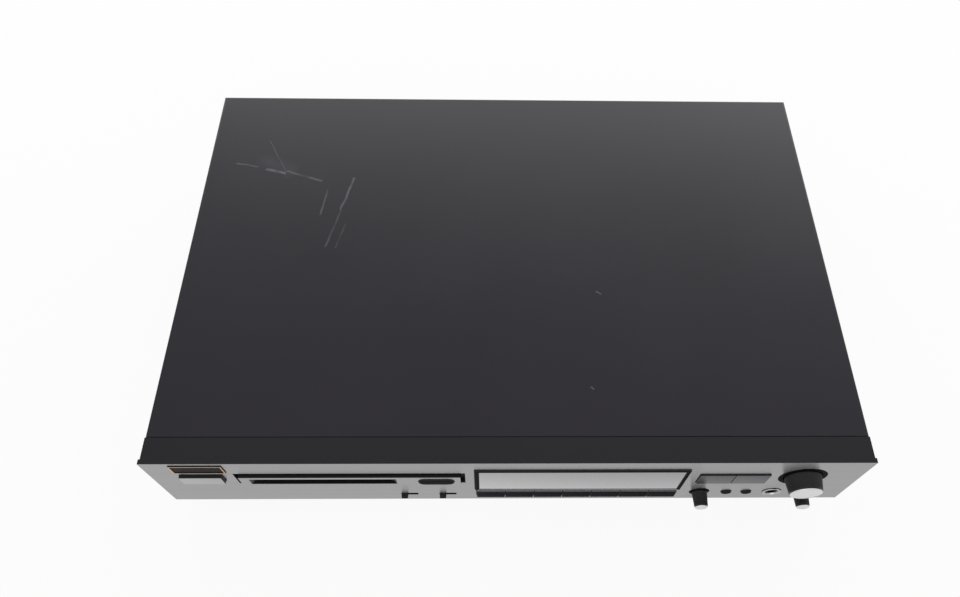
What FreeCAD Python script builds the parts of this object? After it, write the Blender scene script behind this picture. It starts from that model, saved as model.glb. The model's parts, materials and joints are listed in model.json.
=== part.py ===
import FreeCAD, Part
import os
import re
import Sketcher

# Minidisc deck, a full-width hi-fi component. Millimetres, +Z up.
# The front looks along -Y, +X is to the right, and the origin is on the floor
# under the middle of the whole box.

SIZES = {
    # shell
    "fascia_wide": 435,
    "fascia_high": 69,
    "fascia_thick": 3,
    "body_inset": 1,
    "body_deep": 292,
    "bezel_deep": 16.4,
    "bezel_wall": 2,
    "seam_gap": 0.4,
    "cover_thick": 1,
    "cover_lip": 10,
    "base_thick": 1.2,
    "base_lip": 14,
    "panel_thick": 1.2,
    "knob_out": 11,
    "jack_out": 4,
    "seat_gap": 0.3,
    "key_gap": 0.3,
    # feet and screws
    "foot_high": 12,
    "foot_wide": 40,
    "foot_top_wide": 36,
    "foot_in": 48.5,
    "foot_inset": 48,
    "foot_recess": 6,
    "foot_recess_wide": 12,
    "screw_wide": 3,
    "screw_hole_gap": 0.3,
    "screw_head_wide": 6,
    "screw_head_high": 1,
    "screw_grip": 6,
    "cover_screw_high": 8,
    "cover_screw_front": 60,
    "cover_screw_rear": 40,
    "rear_screw_in": 26.5,
    # badge and power button
    "badge_in": 16.5,
    "badge_wide": 31,
    "badge_down": 3,
    "badge_high": 12,
    "badge_thick": 0.8,
    "badge_rim": 0.9,
    "power_in": 18,
    "power_wide": 25.5,
    "power_low": 38.7,
    "power_high": 11.3,
    "power_out": 2.3,
    "power_travel": 2,
    # disc slot plate
    "trench_away": 6.8,
    "trench_wide": 139.6,
    "trench_low": 33.7,
    "trench_high": 17.8,
    "trench_gap": 2.8,
    "insert_out": 1.8,
    "mouth_flare": 7,
    "slot_wide": 75,
    "slot_high": 8.5,
    "slot_in": 50.4,
    "slot_low": 37.4,
    "eject_in": 14.8,
    "eject_wide": 22,
    "eject_high": 8.5,
    "eject_out": 0.8,
    "eject_travel": 1,
    # slide switches
    "switch_step": 24.6,
    "switch_away": 23.2,
    "switch_slot_wide": 11,
    "switch_slot_high": 3.6,
    "switch_slot_low": 9.2,
    "switch_knob_wide": 4.1,
    "switch_knob_out": 2.8,
    # display
    "display_away": 5.8,
    "play_away": 7.4,
    "display_low": 20.7,
    "display_high": 37.1,
    "display_border": 2.6,
    "display_out": 1.2,
    "pane_thick": 2.5,
    "tube_inset": 10.45,
    "tube_high": 26,
    "tube_thick": 6,
    # keys
    "key_inset": 0.9,
    "key_end": 1.2,
    "key_low": 7.6,
    "key_high": 11,
    "key_out": 1.5,
    "key_travel": 0.8,
    "play_in": 64.5,
    "play_wide": 43.5,
    "play_low": 33.6,
    "play_high": 15.4,
    "play_out": 1.2,
    "round_left_in": 76.8,
    "round_right_in": 63.8,
    "round_wide": 6.6,
    "round_out": 1,
    "row_high": 14.3,
    # phones jack and knobs
    "jack_in": 47.1,
    "jack_wide": 12.3,
    "jack_bore": 6.4,
    "jack_rim_out": 0.8,
    "level_in": 94.3,
    "phones_in": 28.5,
    "knob_skirt_wide": 12.6,
    "knob_wide": 9.8,
    "knob_end_wide": 8.5,
    "knob_long": 9.8,
    "cap_thick": 0.6,
    "shaft_wide": 6,
    "jog_in": 36.5,
    "jog_high": 43.7,
    "jog_ring_wide": 29.7,
    "jog_wide": 22.5,
    "jog_end_wide": 20,
    # boards
    "board_thick": 1.6,
    "front_board_back": 16,
    "main_board_high": 8,
    "main_board_inset": 10.2,
    "main_board_wide": 255,
    "main_board_front": 90,
    "main_board_rear": 16,
    "standoff_wide": 7,
    "front_lip_high": 3,
    "can_wide": 18,
    "can_high": 30,
    "chip_high": 2.4,
    "fin_thick": 2,
    "fin_high": 26,
    # power transformer
    "core_wide": 56,
    "core_deep": 46,
    "core_high": 48,
    "core_in": 51.5,
    "core_rear": 60,
    "core_leg": 9,
    "core_yoke": 8,
    "coil_wall": 7,
    # rear sockets
    "socket_high": 36,
    "socket_step": 18,
    "audio_in": 176.5,
    "port_in": 106.5,
    "port_wide": 10,
    "remote_in": 56.5,
    "inlet_in": 31.5,
    "inlet_wide": 24,
    "inlet_tall": 14,
    "inlet_deep": 12,
    "socket_body_deep": 14,
    # disc drive
    "drive_side": 10,
    "drive_tail": 32,
    "drive_front": 18,
    "drive_wall": 1.2,
    "hub_high": 2.6,
    "holder_side": 0.5,
    "holder_long": 72,
    "holder_slim": 0.9,
    "holder_wall": 0.8,
    "holder_up": 0.4,
    "holder_drop": 5,
    "slider_travel": 12,
    "slider_thick": 2,
    "rod_wide": 3,
    "rod_fit": 0.05,
    "motor_wide": 21,
    "motor_high": 3.4,
    "gear_wide": 14,
    "gear_thick": 3,
    "gear_teeth": 18,
    "tooth_gap": 1.3,
    "sled_wide": 30,
    "sled_long": 22,
    "sled_high": 3.2,
    "sled_travel": 18,
    "arm_thick": 1,
    "arm_axle_wide": 1.6,
    "damper_wide": 10,
}

# places worked out from the sizes
PLACES = {
    "body_wide": "(fascia_wide - 2 * body_inset)",
    "half_body": "(fascia_wide / 2 - body_inset)",
    "half_wide": "(fascia_wide / 2)",
    "foot_side": "(half_body - foot_in)",
    "rear_screw_side": "(half_body - rear_screw_in)",
    "badge_left": "(badge_in - half_wide)",
    "badge_low": "(fascia_high - badge_down - badge_high)",
    "power_left": "(power_in - half_wide)",
    "trench_left": "(power_left + power_wide + trench_away)",
    "slot_middle": "(trench_left + trench_gap + slot_in)",
    "mouth_wide": "(slot_wide + 2 * mouth_flare)",
    "eject_middle": "(trench_left + trench_wide - trench_gap - eject_in)",
    "jog_middle": "(half_wide - jog_in)",
    "phones_middle": "(half_wide - phones_in)",
    "jack_middle": "(half_wide - jack_in)",
    "round_right": "(half_wide - round_right_in)",
    "round_left": "(half_wide - round_left_in)",
    "level_middle": "(half_wide - level_in)",
    "play_left": "(jog_middle - play_in)",
    "display_left": "(trench_left + trench_wide + display_away)",
    "display_wide": "(play_left - play_away - display_left)",
    "input_left": "(display_left - switch_away)",
    "timer_left": "(input_left - switch_step)",
    "key_left": "(display_left + key_inset)",
    "key_pitch": "((display_wide - key_inset - key_end) / 7)",
    "tube_wide": "(display_wide - 2 * tube_inset)",
    "main_board_right": "(side_in - main_board_inset)",
    "main_board_left": "(main_board_right - main_board_wide)",
    "core_middle": "(core_in - half_body)",
    "inlet_left": "(inlet_in - half_body)",
    "audio_left": "(half_body - audio_in)",
    "port_left": "(half_body - port_in)",
    "remote_left": "(half_body - remote_in)",
    "holder_wide": "(slot_wide + 2 * holder_side)",
    "holder_high": "(slot_high - holder_slim)",
    "holder_low": "(slot_low + holder_up)",
    "drive_wide": "(holder_wide + 2 * drive_side)",
    "drive_long": "(holder_long + drive_tail)",
    "front": "(knob_out - jack_out - body_deep) / 2",
    "rear": "(front + body_deep)",
    "base": "foot_high",
    "top": "(foot_high + fascia_high)",
    "fascia_back": "(front + fascia_thick)",
    "wall_back": "(fascia_back + bezel_wall)",
    "seam": "(front + bezel_deep)",
    "board_face": "(front + front_board_back)",
    "panel_back": "(rear - cover_thick)",
    "panel_face": "(panel_back - panel_thick)",
    "floor_top": "(base + base_thick)",
    "side_in": "(body_wide / 2 - cover_thick - seat_gap)",
    "switch_face": "(board_face - 4)",
    "insert_face": "(front - insert_out)",
    "slot_top": "(base + slot_low + slot_high)",
    "row": "(base + row_high)",
    "drive_left": "(slot_middle - drive_wide / 2)",
    "drive_right": "(slot_middle + drive_wide / 2)",
    "drive_near": "(front + drive_front)",
    "drive_far": "(drive_near + drive_long)",
    "drive_base": "(holder_base - holder_drop - 2 * seat_gap - hub_high - motor_high - drive_wall)",
    "holder_base": "(base + holder_low)",
    "holder_near": "(drive_near + 6)",
    "holder_far": "(holder_near + holder_long)",
    "main_top": "(floor_top + main_board_high + board_thick)",
    "main_near": "(front + main_board_front)",
    "main_far": "(panel_face - main_board_rear)",
    "core_near": "(panel_face - core_rear - core_deep)",
    "disc_y": "(holder_near + holder_long / 2)",
    "hub_top": "(drive_base + drive_wall + motor_high)",
}

document = FreeCAD.newDocument("MinidiscDeck")
sheet = document.addObject("Spreadsheet::Sheet", "Sizes")
for row_number, (size_name, size_value) in enumerate(SIZES.items(), 1):
    sheet.set(f"A{row_number}", str(size_value))
    sheet.setAlias(f"A{row_number}", size_name)
document.recompute()

nodes = {}


def formula(text):
    """The text with each place written out and each size tied to its cell."""
    text = str(text)
    words = re.findall(r"[a-z][a-z_]*", text)
    while any(word in PLACES for word in words):
        text = re.sub(r"[a-z][a-z_]*", lambda found: PLACES.get(found[0], found[0]), text)
        words = re.findall(r"[a-z][a-z_]*", text)
    return re.sub(r"[a-z][a-z_]*", lambda found: "Sizes." + found[0], text)


def number(text):
    """The value that the formula has with the sheet's present sizes."""
    return float(sheet.evalExpression(formula(text)))


def bind(thing, name, text):
    thing.setExpression(name, formula(text))


def keep(label, thing):
    """Name the finished sub-part; the label is the name of its file."""
    thing.Label = label
    nodes[label] = thing
    return thing


# Simple solids. A span is a pair of texts, its low end and its high end.

def block(name, x, y, z):
    solid = document.addObject("Part::Box", name)
    for side, axis, span in (("Length", "x", x), ("Width", "y", y), ("Height", "z", z)):
        bind(solid, side, f"({span[1]}) - ({span[0]})")
        bind(solid, f".Placement.Base.{axis}", span[0])
    return solid


TURNS = {
    "x": FreeCAD.Rotation(FreeCAD.Vector(0, 1, 0), 90),
    "y": FreeCAD.Rotation(FreeCAD.Vector(1, 0, 0), -90),
    "z": FreeCAD.Rotation(),
}


def lay(solid, axis, middle, low):
    """Turn a round solid to its axis and bind the middle of its lower end."""
    solid.Placement = FreeCAD.Placement(FreeCAD.Vector(), TURNS[axis])
    across = [name for name in "xyz" if name != axis]
    bind(solid, f".Placement.Base.{axis}", low)
    for name, text in zip(across, middle):
        bind(solid, f".Placement.Base.{name}", text)


def rod(name, axis, middle, span, wide):
    solid = document.addObject("Part::Cylinder", name)
    bind(solid, "Radius", f"({wide}) / 2")
    bind(solid, "Height", f"({span[1]}) - ({span[0]})")
    lay(solid, axis, middle, span[0])
    return solid


def taper(name, axis, middle, span, low_wide, high_wide):
    solid = document.addObject("Part::Cone", name)
    bind(solid, "Radius1", f"({low_wide}) / 2")
    bind(solid, "Radius2", f"({high_wide}) / 2")
    bind(solid, "Height", f"({span[1]}) - ({span[0]})")
    lay(solid, axis, middle, span[0])
    return solid


def joined(name, solids):
    fusion = document.addObject("Part::MultiFuse", name)
    fusion.Shapes = solids
    fusion.Refine = True
    return fusion


def less(name, solid, tools):
    cut = document.addObject("Part::Cut", name)
    cut.Base = solid
    cut.Tool = tools[0] if len(tools) == 1 else joined(name + "Tools", tools)
    cut.Refine = True
    return cut


# Sketched solids. A loop is ("box", x low, x high, y low, y high), ("round", x, y, wide)
# or ("path", points), all texts in the sketch's own two directions.

PLANES = {"z": "XY_Plane", "y": "XZ_Plane", "x": "YZ_Plane"}


def draw(sketch, loop):
    if loop[0] == "round":
        middle_x, middle_y = number(loop[1]), number(loop[2])
        centre = FreeCAD.Vector(middle_x, middle_y, 0)
        radius = number(loop[3]) / 2
        ring = sketch.addGeometry(Part.Circle(centre, FreeCAD.Vector(0, 0, 1), radius), False)
        measures = [("Radius", (ring, radius), f"({loop[3]}) / 2")]
        measures.append(("DistanceX", (-1, 1, ring, 3, middle_x), loop[1]))
        measures.append(("DistanceY", (-1, 1, ring, 3, middle_y), loop[2]))
    else:
        if loop[0] == "box":
            left, right, low, high = loop[1:]
            points = [(left, low), (right, low), (right, high), (left, high)]
        else:
            points = loop[1]
        places = [FreeCAD.Vector(number(point[0]), number(point[1]), 0) for point in points]
        ends = places[1:] + places[:1]
        lines = [Part.LineSegment(start, end) for start, end in zip(places, ends)]
        first = sketch.addGeometry(lines, False)[0]
        measures = []
        for index, (point, place) in enumerate(zip(points, places)):
            line = first + index
            after = first + (index + 1) % len(points)
            sketch.addConstraint(Sketcher.Constraint("Coincident", line, 2, after, 1))
            measures.append(("DistanceX", (-1, 1, line, 1, place.x), point[0]))
            measures.append(("DistanceY", (-1, 1, line, 1, place.y), point[1]))
    for kind, where, text in measures:
        made = sketch.addConstraint(Sketcher.Constraint(kind, *where))
        bind(sketch, f"Constraints[{made}]", text)


def sketched(body, axis, at, loops):
    sketch = body.newObject("Sketcher::SketchObject", body.Name + "Sketch")
    plane = next(item for item in body.Origin.OriginFeatures if item.Role == PLANES[axis])
    sketch.AttachmentSupport = (plane, [""])
    sketch.MapMode = "FlatFace"
    offset = f"-({at})" if axis == "y" else at
    bind(sketch, ".AttachmentOffset.Base.z", offset)
    for loop in loops:
        draw(sketch, loop)
    return sketch


def grow(body, axis, span, loops):
    """Add material between the two ends of the span."""
    pad = body.newObject("PartDesign::Pad", body.Name + "Pad")
    pad.Profile = sketched(body, axis, span[0], loops)
    bind(pad, "Length", f"({span[1]}) - ({span[0]})")
    pad.Reversed = axis == "y"
    document.recompute()
    return pad


def hollow(body, axis, span, loops):
    """Take material away between the two ends of the span."""
    before = body.Shape.Volume
    pocket = body.newObject("PartDesign::Pocket", body.Name + "Pocket")
    pocket.Profile = sketched(body, axis, span[0], loops)
    bind(pocket, "Length", f"({span[1]}) - ({span[0]})")
    pocket.Reversed = axis != "y"
    document.recompute()
    if body.Shape.Volume >= before:
        raise RuntimeError(f"{pocket.Name} cuts nothing")
    return pocket


def body_named(name):
    return document.addObject("PartDesign::Body", name)


def box_loop(x, y):
    return ("box", x[0], x[1], y[0], y[1])


# Spans that several pieces share

POWER_X = ("power_left", "power_left + power_wide")
POWER_Z = ("base + power_low", "base + power_low + power_high")
TRENCH_X = ("trench_left", "trench_left + trench_wide")
TRENCH_Z = ("base + trench_low", "base + trench_low + trench_high")
DISPLAY_X = ("display_left", "display_left + display_wide")
DISPLAY_Z = ("base + display_low", "base + display_low + display_high")
KEYS_X = ("key_left", "key_left + 7 * key_pitch")
KEYS_Z = ("base + key_low", "base + key_low + key_high")
PLAY_X = ("play_left", "play_left + play_wide")
PLAY_Z = ("base + play_low", "base + play_low + play_high")
SWITCH_Z = ("base + switch_slot_low", "base + switch_slot_low + switch_slot_high")
SLOT_X = ("slot_middle - slot_wide / 2", "slot_middle + slot_wide / 2")
SLOT_Z = ("base + slot_low", "slot_top")


def wider(span, gap):
    """The span with a gap added at both ends; a negative gap draws it in."""
    return (f"{span[0]} - ({gap})", f"{span[1]} + ({gap})")


def switch_x(left):
    return (left, f"{left} + switch_slot_wide")


SCREW_PLACES_Y = ("front + cover_screw_front", "rear - cover_screw_rear")
REAR_SCREWS_X = ("-rear_screw_side", "0", "rear_screw_side")
COVER_SCREW_Z = "base + cover_screw_high"
REAR_SCREW_Z = "top - cover_lip / 2 - 1"
FOOT_PLACES = [(x, y) for x in ("-foot_side", "foot_side") for y in ("front + foot_inset", "rear - foot_inset")]
STANDOFFS = [
    (x, y)
    for x in ("main_board_left + 8", "main_board_right - 8")
    for y in ("main_near + 8", "main_far - 8")
]


def front_fascia():
    """Brushed plate with an opening for each control."""
    body = body_named("Fascia")
    half = "fascia_wide / 2"
    grow(body, "y", ("front", "fascia_back"), [box_loop(("-" + half, half), ("base", "top"))])
    openings = [
        box_loop(wider(POWER_X, "key_gap"), wider(POWER_Z, "key_gap")),
        box_loop(TRENCH_X, TRENCH_Z),
        box_loop(wider(DISPLAY_X, "key_gap"), wider(DISPLAY_Z, "key_gap")),
        box_loop(wider(KEYS_X, "key_gap"), wider(KEYS_Z, "key_gap")),
        box_loop(wider(PLAY_X, "key_gap"), wider(PLAY_Z, "key_gap")),
        box_loop(switch_x("timer_left"), SWITCH_Z),
        box_loop(switch_x("input_left"), SWITCH_Z),
        ("round", "round_left", "row", "round_wide + 2 * key_gap"),
        ("round", "round_right", "row", "round_wide + 2 * key_gap"),
        ("round", "jack_middle", "row", "jack_wide"),
        ("round", "level_middle", "row", "knob_skirt_wide + 2 * key_gap"),
        ("round", "phones_middle", "row", "knob_skirt_wide + 2 * key_gap"),
        ("round", "jog_middle", "base + jog_high", "jog_ring_wide"),
    ]
    hollow(body, "y", ("front", "fascia_back"), openings)
    keep("front_fascia", body)


def front_bezel():
    """Black moulded frame behind the fascia: a front wall with a rim all round."""
    body = body_named("Bezel")
    half = "body_wide / 2"
    inner = f"{half} - bezel_wall"
    grow(body, "y", ("fascia_back", "seam"), [box_loop(("-" + half, half), ("base", "top"))])
    room = box_loop((f"-({inner})", inner), ("base + bezel_wall", "top - bezel_wall"))
    hollow(body, "y", ("wall_back", "seam"), [room])
    stem = "switch_knob_wide + 2 * key_gap"
    openings = [
        box_loop(wider(POWER_X, "key_gap"), wider(POWER_Z, "key_gap")),
        box_loop(SLOT_X, SLOT_Z),
        ("round", "eject_middle", "slot_top - eject_high / 2", "4 + 2 * key_gap"),
        box_loop(wider(DISPLAY_X, "-display_border"), wider(DISPLAY_Z, "-display_border")),
        box_loop(wider(PLAY_X, "-1"), wider(PLAY_Z, "-4")),
        box_loop(switch_x("timer_left"), SWITCH_Z),
        box_loop(switch_x("input_left"), SWITCH_Z),
        ("round", "round_left", "row", f"{stem} - 1"),
        ("round", "round_right", "row", f"{stem} - 1"),
        ("round", "jack_middle", "row", "jack_wide - 2"),
        ("round", "level_middle", "row", "shaft_wide + 2 * key_gap"),
        ("round", "phones_middle", "row", "shaft_wide + 2 * key_gap"),
        ("round", "jog_middle", "base + jog_high", "shaft_wide + 2 * key_gap"),
    ]
    for index in range(7):
        middle = f"key_left + {index + 0.5} * key_pitch"
        openings.append(("round", middle, "base + key_low + key_high / 2", "4 + 2 * key_gap"))
    hollow(body, "y", ("fascia_back", "wall_back"), openings)
    keep("front_bezel", body)


def top_cover():
    """Folded steel cover: top, two sides and a short lip at the rear."""
    body = body_named("Cover")
    half = "body_wide / 2"
    inner = f"{half} - cover_thick"
    profile = [
        (f"-{half}", "base"),
        (f"-({inner})", "base"),
        (f"-({inner})", "top - cover_thick"),
        (inner, "top - cover_thick"),
        (inner, "base"),
        (half, "base"),
        (half, "top"),
        (f"-{half}", "top"),
    ]
    grow(body, "y", ("seam + seam_gap", "rear"), [("path", profile)])
    lip = box_loop((f"-({inner} - seat_gap)", f"{inner} - seat_gap"), ("top - cover_lip", "top - cover_thick"))
    grow(body, "y", ("panel_back", "rear"), [lip])
    hole = "screw_wide + 2 * screw_hole_gap"
    rear_holes = [("round", x, REAR_SCREW_Z, hole) for x in REAR_SCREWS_X]
    hollow(body, "y", ("panel_back", "rear"), rear_holes)
    side_holes = [("round", y, COVER_SCREW_Z, hole) for y in SCREW_PLACES_Y]
    hollow(body, "x", (f"-{half}", half), side_holes)
    keep("top_cover", body)


def base_chassis():
    """Steel tray with folded side lips, a front lip and standoffs for the main board."""
    body = body_named("Base")
    y = ("seam + seam_gap", "panel_back")
    grow(body, "z", ("base", "floor_top"), [box_loop(("-side_in", "side_in"), y)])
    for left, right in (("-side_in", "-side_in + base_thick"), ("side_in - base_thick", "side_in")):
        lip_y = (y[0], "panel_face - seat_gap")
        grow(body, "z", ("floor_top", "base + base_lip"), [box_loop((left, right), lip_y)])
    hole = "screw_wide + 2 * screw_hole_gap"
    side_holes = [("round", place, COVER_SCREW_Z, hole) for place in SCREW_PLACES_Y]
    hollow(body, "x", ("-side_in", "side_in"), side_holes)
    standoffs = [("round", x, place, "standoff_wide") for x, place in STANDOFFS]
    grow(body, "z", ("floor_top", "floor_top + main_board_high"), standoffs)
    drops = [("round", x, place, hole) for x, place in STANDOFFS + FOOT_PLACES]
    hollow(body, "z", ("base", "floor_top + main_board_high"), drops)
    front_lip = box_loop(("-side_in + 20", "side_in - 20"), (y[0], f"{y[0]} + base_thick"))
    grow(body, "z", ("floor_top", "floor_top + front_lip_high"), [front_lip])
    keep("base_chassis", body)


AUDIO_PLACES = [
    (f"audio_left + {column} * socket_step", f"base + socket_high + {line} * socket_step - socket_step / 2")
    for column in (0, 1)
    for line in (0, 1)
]
PORT_PLACES = [(f"port_left + {column} * (socket_step - 3)", "base + socket_high") for column in (0, 1, 2)]
REMOTE_PLACES = [("remote_left", f"base + socket_high + {line} * socket_step - socket_step / 2") for line in (0, 1)]
INLET_X = ("inlet_left - inlet_wide / 2", "inlet_left + inlet_wide / 2")
INLET_Z = ("base + socket_high - inlet_tall / 2", "base + socket_high + inlet_tall / 2")


def rear_panel():
    """Steel sheet with the socket holes."""
    body = body_named("Rear")
    edge = "side_in - base_thick - seat_gap"
    z = ("floor_top", "top - cover_thick - seat_gap")
    grow(body, "y", ("panel_face", "panel_back"), [box_loop((f"-({edge})", edge), z)])
    holes = [("round", x, height, "9") for x, height in AUDIO_PLACES + REMOTE_PLACES]
    for x, height in PORT_PLACES:
        span_x = (f"{x} - port_wide / 2 - key_gap", f"{x} + port_wide / 2 + key_gap")
        span_z = (f"{height} - port_wide / 2 - key_gap", f"{height} + port_wide / 2 + key_gap")
        holes.append(box_loop(span_x, span_z))
    holes.append(box_loop(wider(INLET_X, "key_gap"), wider(INLET_Z, "key_gap")))
    holes += [("round", x, REAR_SCREW_Z, "screw_wide + 2 * screw_hole_gap") for x in REAR_SCREWS_X]
    hollow(body, "y", ("panel_face", "panel_back"), holes)
    keep("rear_panel", body)


def feet():
    made = []
    for index, (x, y) in enumerate(FOOT_PLACES):
        cone = taper(f"FootCone{index}", "z", (x, y), ("0", "base"), "foot_top_wide", "foot_wide")
        recess = rod(f"FootRecess{index}", "z", (x, y), ("0", "foot_recess"), "foot_recess_wide")
        hole = rod(f"FootHole{index}", "z", (x, y), ("0", "base"), "screw_wide + 2 * screw_hole_gap")
        made.append(less(f"Foot{index}", cone, [recess, hole]))
    keep("feet", joined("Feet", made))


def screw(name, axis, middle, seat, way, grip="screw_grip"):
    """A screw whose head lies on the seat and whose shank runs the other way."""
    head = (seat, f"{seat} + screw_head_high") if way > 0 else (f"{seat} - screw_head_high", seat)
    shank = (f"{seat} - {grip}", seat) if way > 0 else (seat, f"{seat} + {grip}")
    pieces = [
        rod(name + "Head", axis, middle, head, "screw_head_wide"),
        rod(name + "Shank", axis, middle, shank, "screw_wide"),
    ]
    return joined(name, pieces)


def screws():
    """All the small pan-head screws: cover, rear lip, feet and main board."""
    made = []
    for index, y in enumerate(SCREW_PLACES_Y):
        middle = (y, COVER_SCREW_Z)
        made.append(screw(f"ScrewLeft{index}", "x", middle, "-body_wide / 2", -1))
        made.append(screw(f"ScrewRight{index}", "x", middle, "body_wide / 2", 1))
    for index, x in enumerate(REAR_SCREWS_X):
        made.append(screw(f"ScrewRear{index}", "y", (x, REAR_SCREW_Z), "rear", 1))
    for index, (x, y) in enumerate(FOOT_PLACES):
        seat = "foot_recess"
        made.append(screw(f"ScrewFoot{index}", "z", (x, y), seat, -1, "(base - foot_recess + 5)"))
    for index, (x, y) in enumerate(STANDOFFS):
        made.append(screw(f"ScrewBoard{index}", "z", (x, y), "main_top", 1))
    keep("screws", joined("Screws", made))


def badge_plate():
    """Bare plate with a plain raised rim."""
    x = ("badge_left", "badge_left + badge_wide")
    z = ("base + badge_low", "base + badge_low + badge_high")
    plate = block("BadgePlate", x, ("front - badge_thick", "front"), z)
    dish_y = ("front - badge_thick", "front - badge_thick / 2")
    dish = block("BadgeDish", wider(x, "-badge_rim"), dish_y, wider(z, "-badge_rim"))
    keep("badge_plate", less("Badge", plate, [dish]))


def slot_insert():
    """Silver plate in the trench, with the flared disc slot and the eject hole."""
    body = body_named("Insert")
    x = wider(TRENCH_X, "-trench_gap")
    z = wider(TRENCH_Z, "-trench_gap")
    grow(body, "y", ("insert_face", "fascia_back"), [box_loop(x, z)])
    funnel = [
        ("slot_middle - mouth_wide / 2", "insert_face"),
        ("slot_middle + mouth_wide / 2", "insert_face"),
        (SLOT_X[1], "fascia_back"),
        (SLOT_X[0], "fascia_back"),
    ]
    hollow(body, "z", SLOT_Z, [("path", funnel)])
    y = ("insert_face", "fascia_back")
    middle_z = "slot_top - eject_high / 2"
    straight = "(eject_wide - eject_high) / 2"
    wide = "eject_high + 2 * key_gap"
    pill_x = (f"eject_middle - {straight}", f"eject_middle + {straight}")
    pill_z = (f"{middle_z} - ({wide}) / 2", f"{middle_z} + ({wide}) / 2")
    hollow(body, "y", y, [box_loop(pill_x, pill_z)])
    for x_end in pill_x:
        hollow(body, "y", y, [("round", x_end, middle_z, wide)])
    keep("slot_insert", body)


def eject_button():
    middle_z = "slot_top - eject_high / 2"
    straight = "(eject_wide - eject_high) / 2"
    y = ("insert_face - eject_out", "fascia_back - eject_travel - 0.3")
    x = (f"eject_middle - {straight}", f"eject_middle + {straight}")
    z = ("slot_top - eject_high", "slot_top")
    pieces = [block("EjectFace", x, y, z)]
    for index, x_end in enumerate(x):
        pieces.append(rod(f"EjectEnd{index}", "y", (x_end, middle_z), y, "eject_high"))
    stem = (y[1], "switch_face - eject_travel - seat_gap")
    pieces.append(rod("EjectStem", "y", ("eject_middle", middle_z), stem, "4"))
    keep("eject_button", joined("Eject", pieces))


def power_button():
    z_middle = "base + power_low + power_high / 2"
    cap = block("PowerCap", POWER_X, ("front - power_out", "wall_back - 0.5"), POWER_Z)
    x_middle = "power_left + power_wide / 2"
    stem_y = ("wall_back - 0.5", "switch_face - power_travel - seat_gap")
    stem = rod("PowerStem", "y", (x_middle, z_middle), stem_y, "5")
    keep("power_button", joined("Power", [cap, stem]))


def key(label, x, z, out, stem_wide):
    """A flat key with a round stem that ends just before its switch."""
    y = (f"front - {out}", "fascia_back - key_travel - 0.2")
    x_middle = f"({x[0]} + {x[1]}) / 2"
    z_middle = f"({z[0]} + {z[1]}) / 2"
    cap = block(label + "_cap", x, y, z)
    stem_y = (y[1], "switch_face - key_travel - seat_gap")
    stem = rod(label + "_stem", "y", (x_middle, z_middle), stem_y, stem_wide)
    keep(label, joined(label + "_all", [cap, stem]))


def keys():
    for index in range(7):
        x = (f"key_left + {index} * key_pitch + key_gap / 2", f"key_left + {index + 1} * key_pitch - key_gap / 2")
        key(f"function_button_{index + 1}", x, KEYS_Z, "key_out", "4")
    half = "play_left + play_wide / 2"
    key("play_button", (PLAY_X[0], f"{half} - key_gap / 2"), PLAY_Z, "play_out", "4")
    key("stop_button", (f"{half} + key_gap / 2", PLAY_X[1]), PLAY_Z, "play_out", "4")


def round_button(label, x):
    face = rod(label + "_face", "y", (x, "row"), ("front - round_out", "fascia_back - key_travel - 0.2"), "round_wide")
    stem_y = ("fascia_back - key_travel - 0.2", "switch_face - key_travel - seat_gap")
    stem = rod(label + "_stem", "y", (x, "row"), stem_y, "3")
    keep(label, joined(label + "_all", [face, stem]))


def slide_knob(label, left):
    """The knob stands at the left end of its slot and runs to the right end."""
    x = (f"{left} + key_gap", f"{left} + key_gap + switch_knob_wide")
    z = wider(SWITCH_Z, "-key_gap")
    keep(label, block(label + "_block", x, ("front - switch_knob_out", "switch_face - seat_gap"), z))


def display():
    """Border moulding, see-through pane and the lit tube behind it."""
    y = ("front - display_out", "fascia_back")
    frame = block("DisplayOuter", DISPLAY_X, y, DISPLAY_Z)
    inner_x = wider(DISPLAY_X, "-display_border")
    inner_z = wider(DISPLAY_Z, "-display_border")
    window = block("DisplayHole", inner_x, y, inner_z)
    keep("display_frame", less("DisplayFrame", frame, [window]))
    pane_y = ("front - display_out + 0.2", "front - display_out + 0.2 + pane_thick")
    pane = block("Pane", wider(inner_x, "-0.1"), pane_y, wider(inner_z, "-0.1"))
    keep("display_pane", pane)
    x_middle = "display_left + display_wide / 2"
    z_middle = "base + display_low + display_high / 2"
    tube_x = (f"{x_middle} - tube_wide / 2", f"{x_middle} + tube_wide / 2")
    tube_z = (f"{z_middle} - tube_high / 2", f"{z_middle} + tube_high / 2")
    tube_y = ("board_face - seat_gap - tube_thick", "board_face - seat_gap")
    keep("display_tube", block("Tube", tube_x, tube_y, tube_z))


def phones_jack():
    """Threaded socket with a round rim on the fascia."""
    rim = rod("JackRim", "y", ("jack_middle", "row"), ("front - jack_rim_out", "fascia_back"), "jack_wide - 0.2")
    barrel_y = ("fascia_back", "board_face - seat_gap")
    barrel = rod("JackBarrel", "y", ("jack_middle", "row"), barrel_y, "jack_wide - 2.6")
    bore_y = ("front - jack_rim_out", "board_face - 1.5")
    bore = rod("JackBore", "y", ("jack_middle", "row"), bore_y, "jack_bore")
    keep("phones_jack", less("Jack", joined("JackSolid", [rim, barrel]), [bore]))


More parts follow.
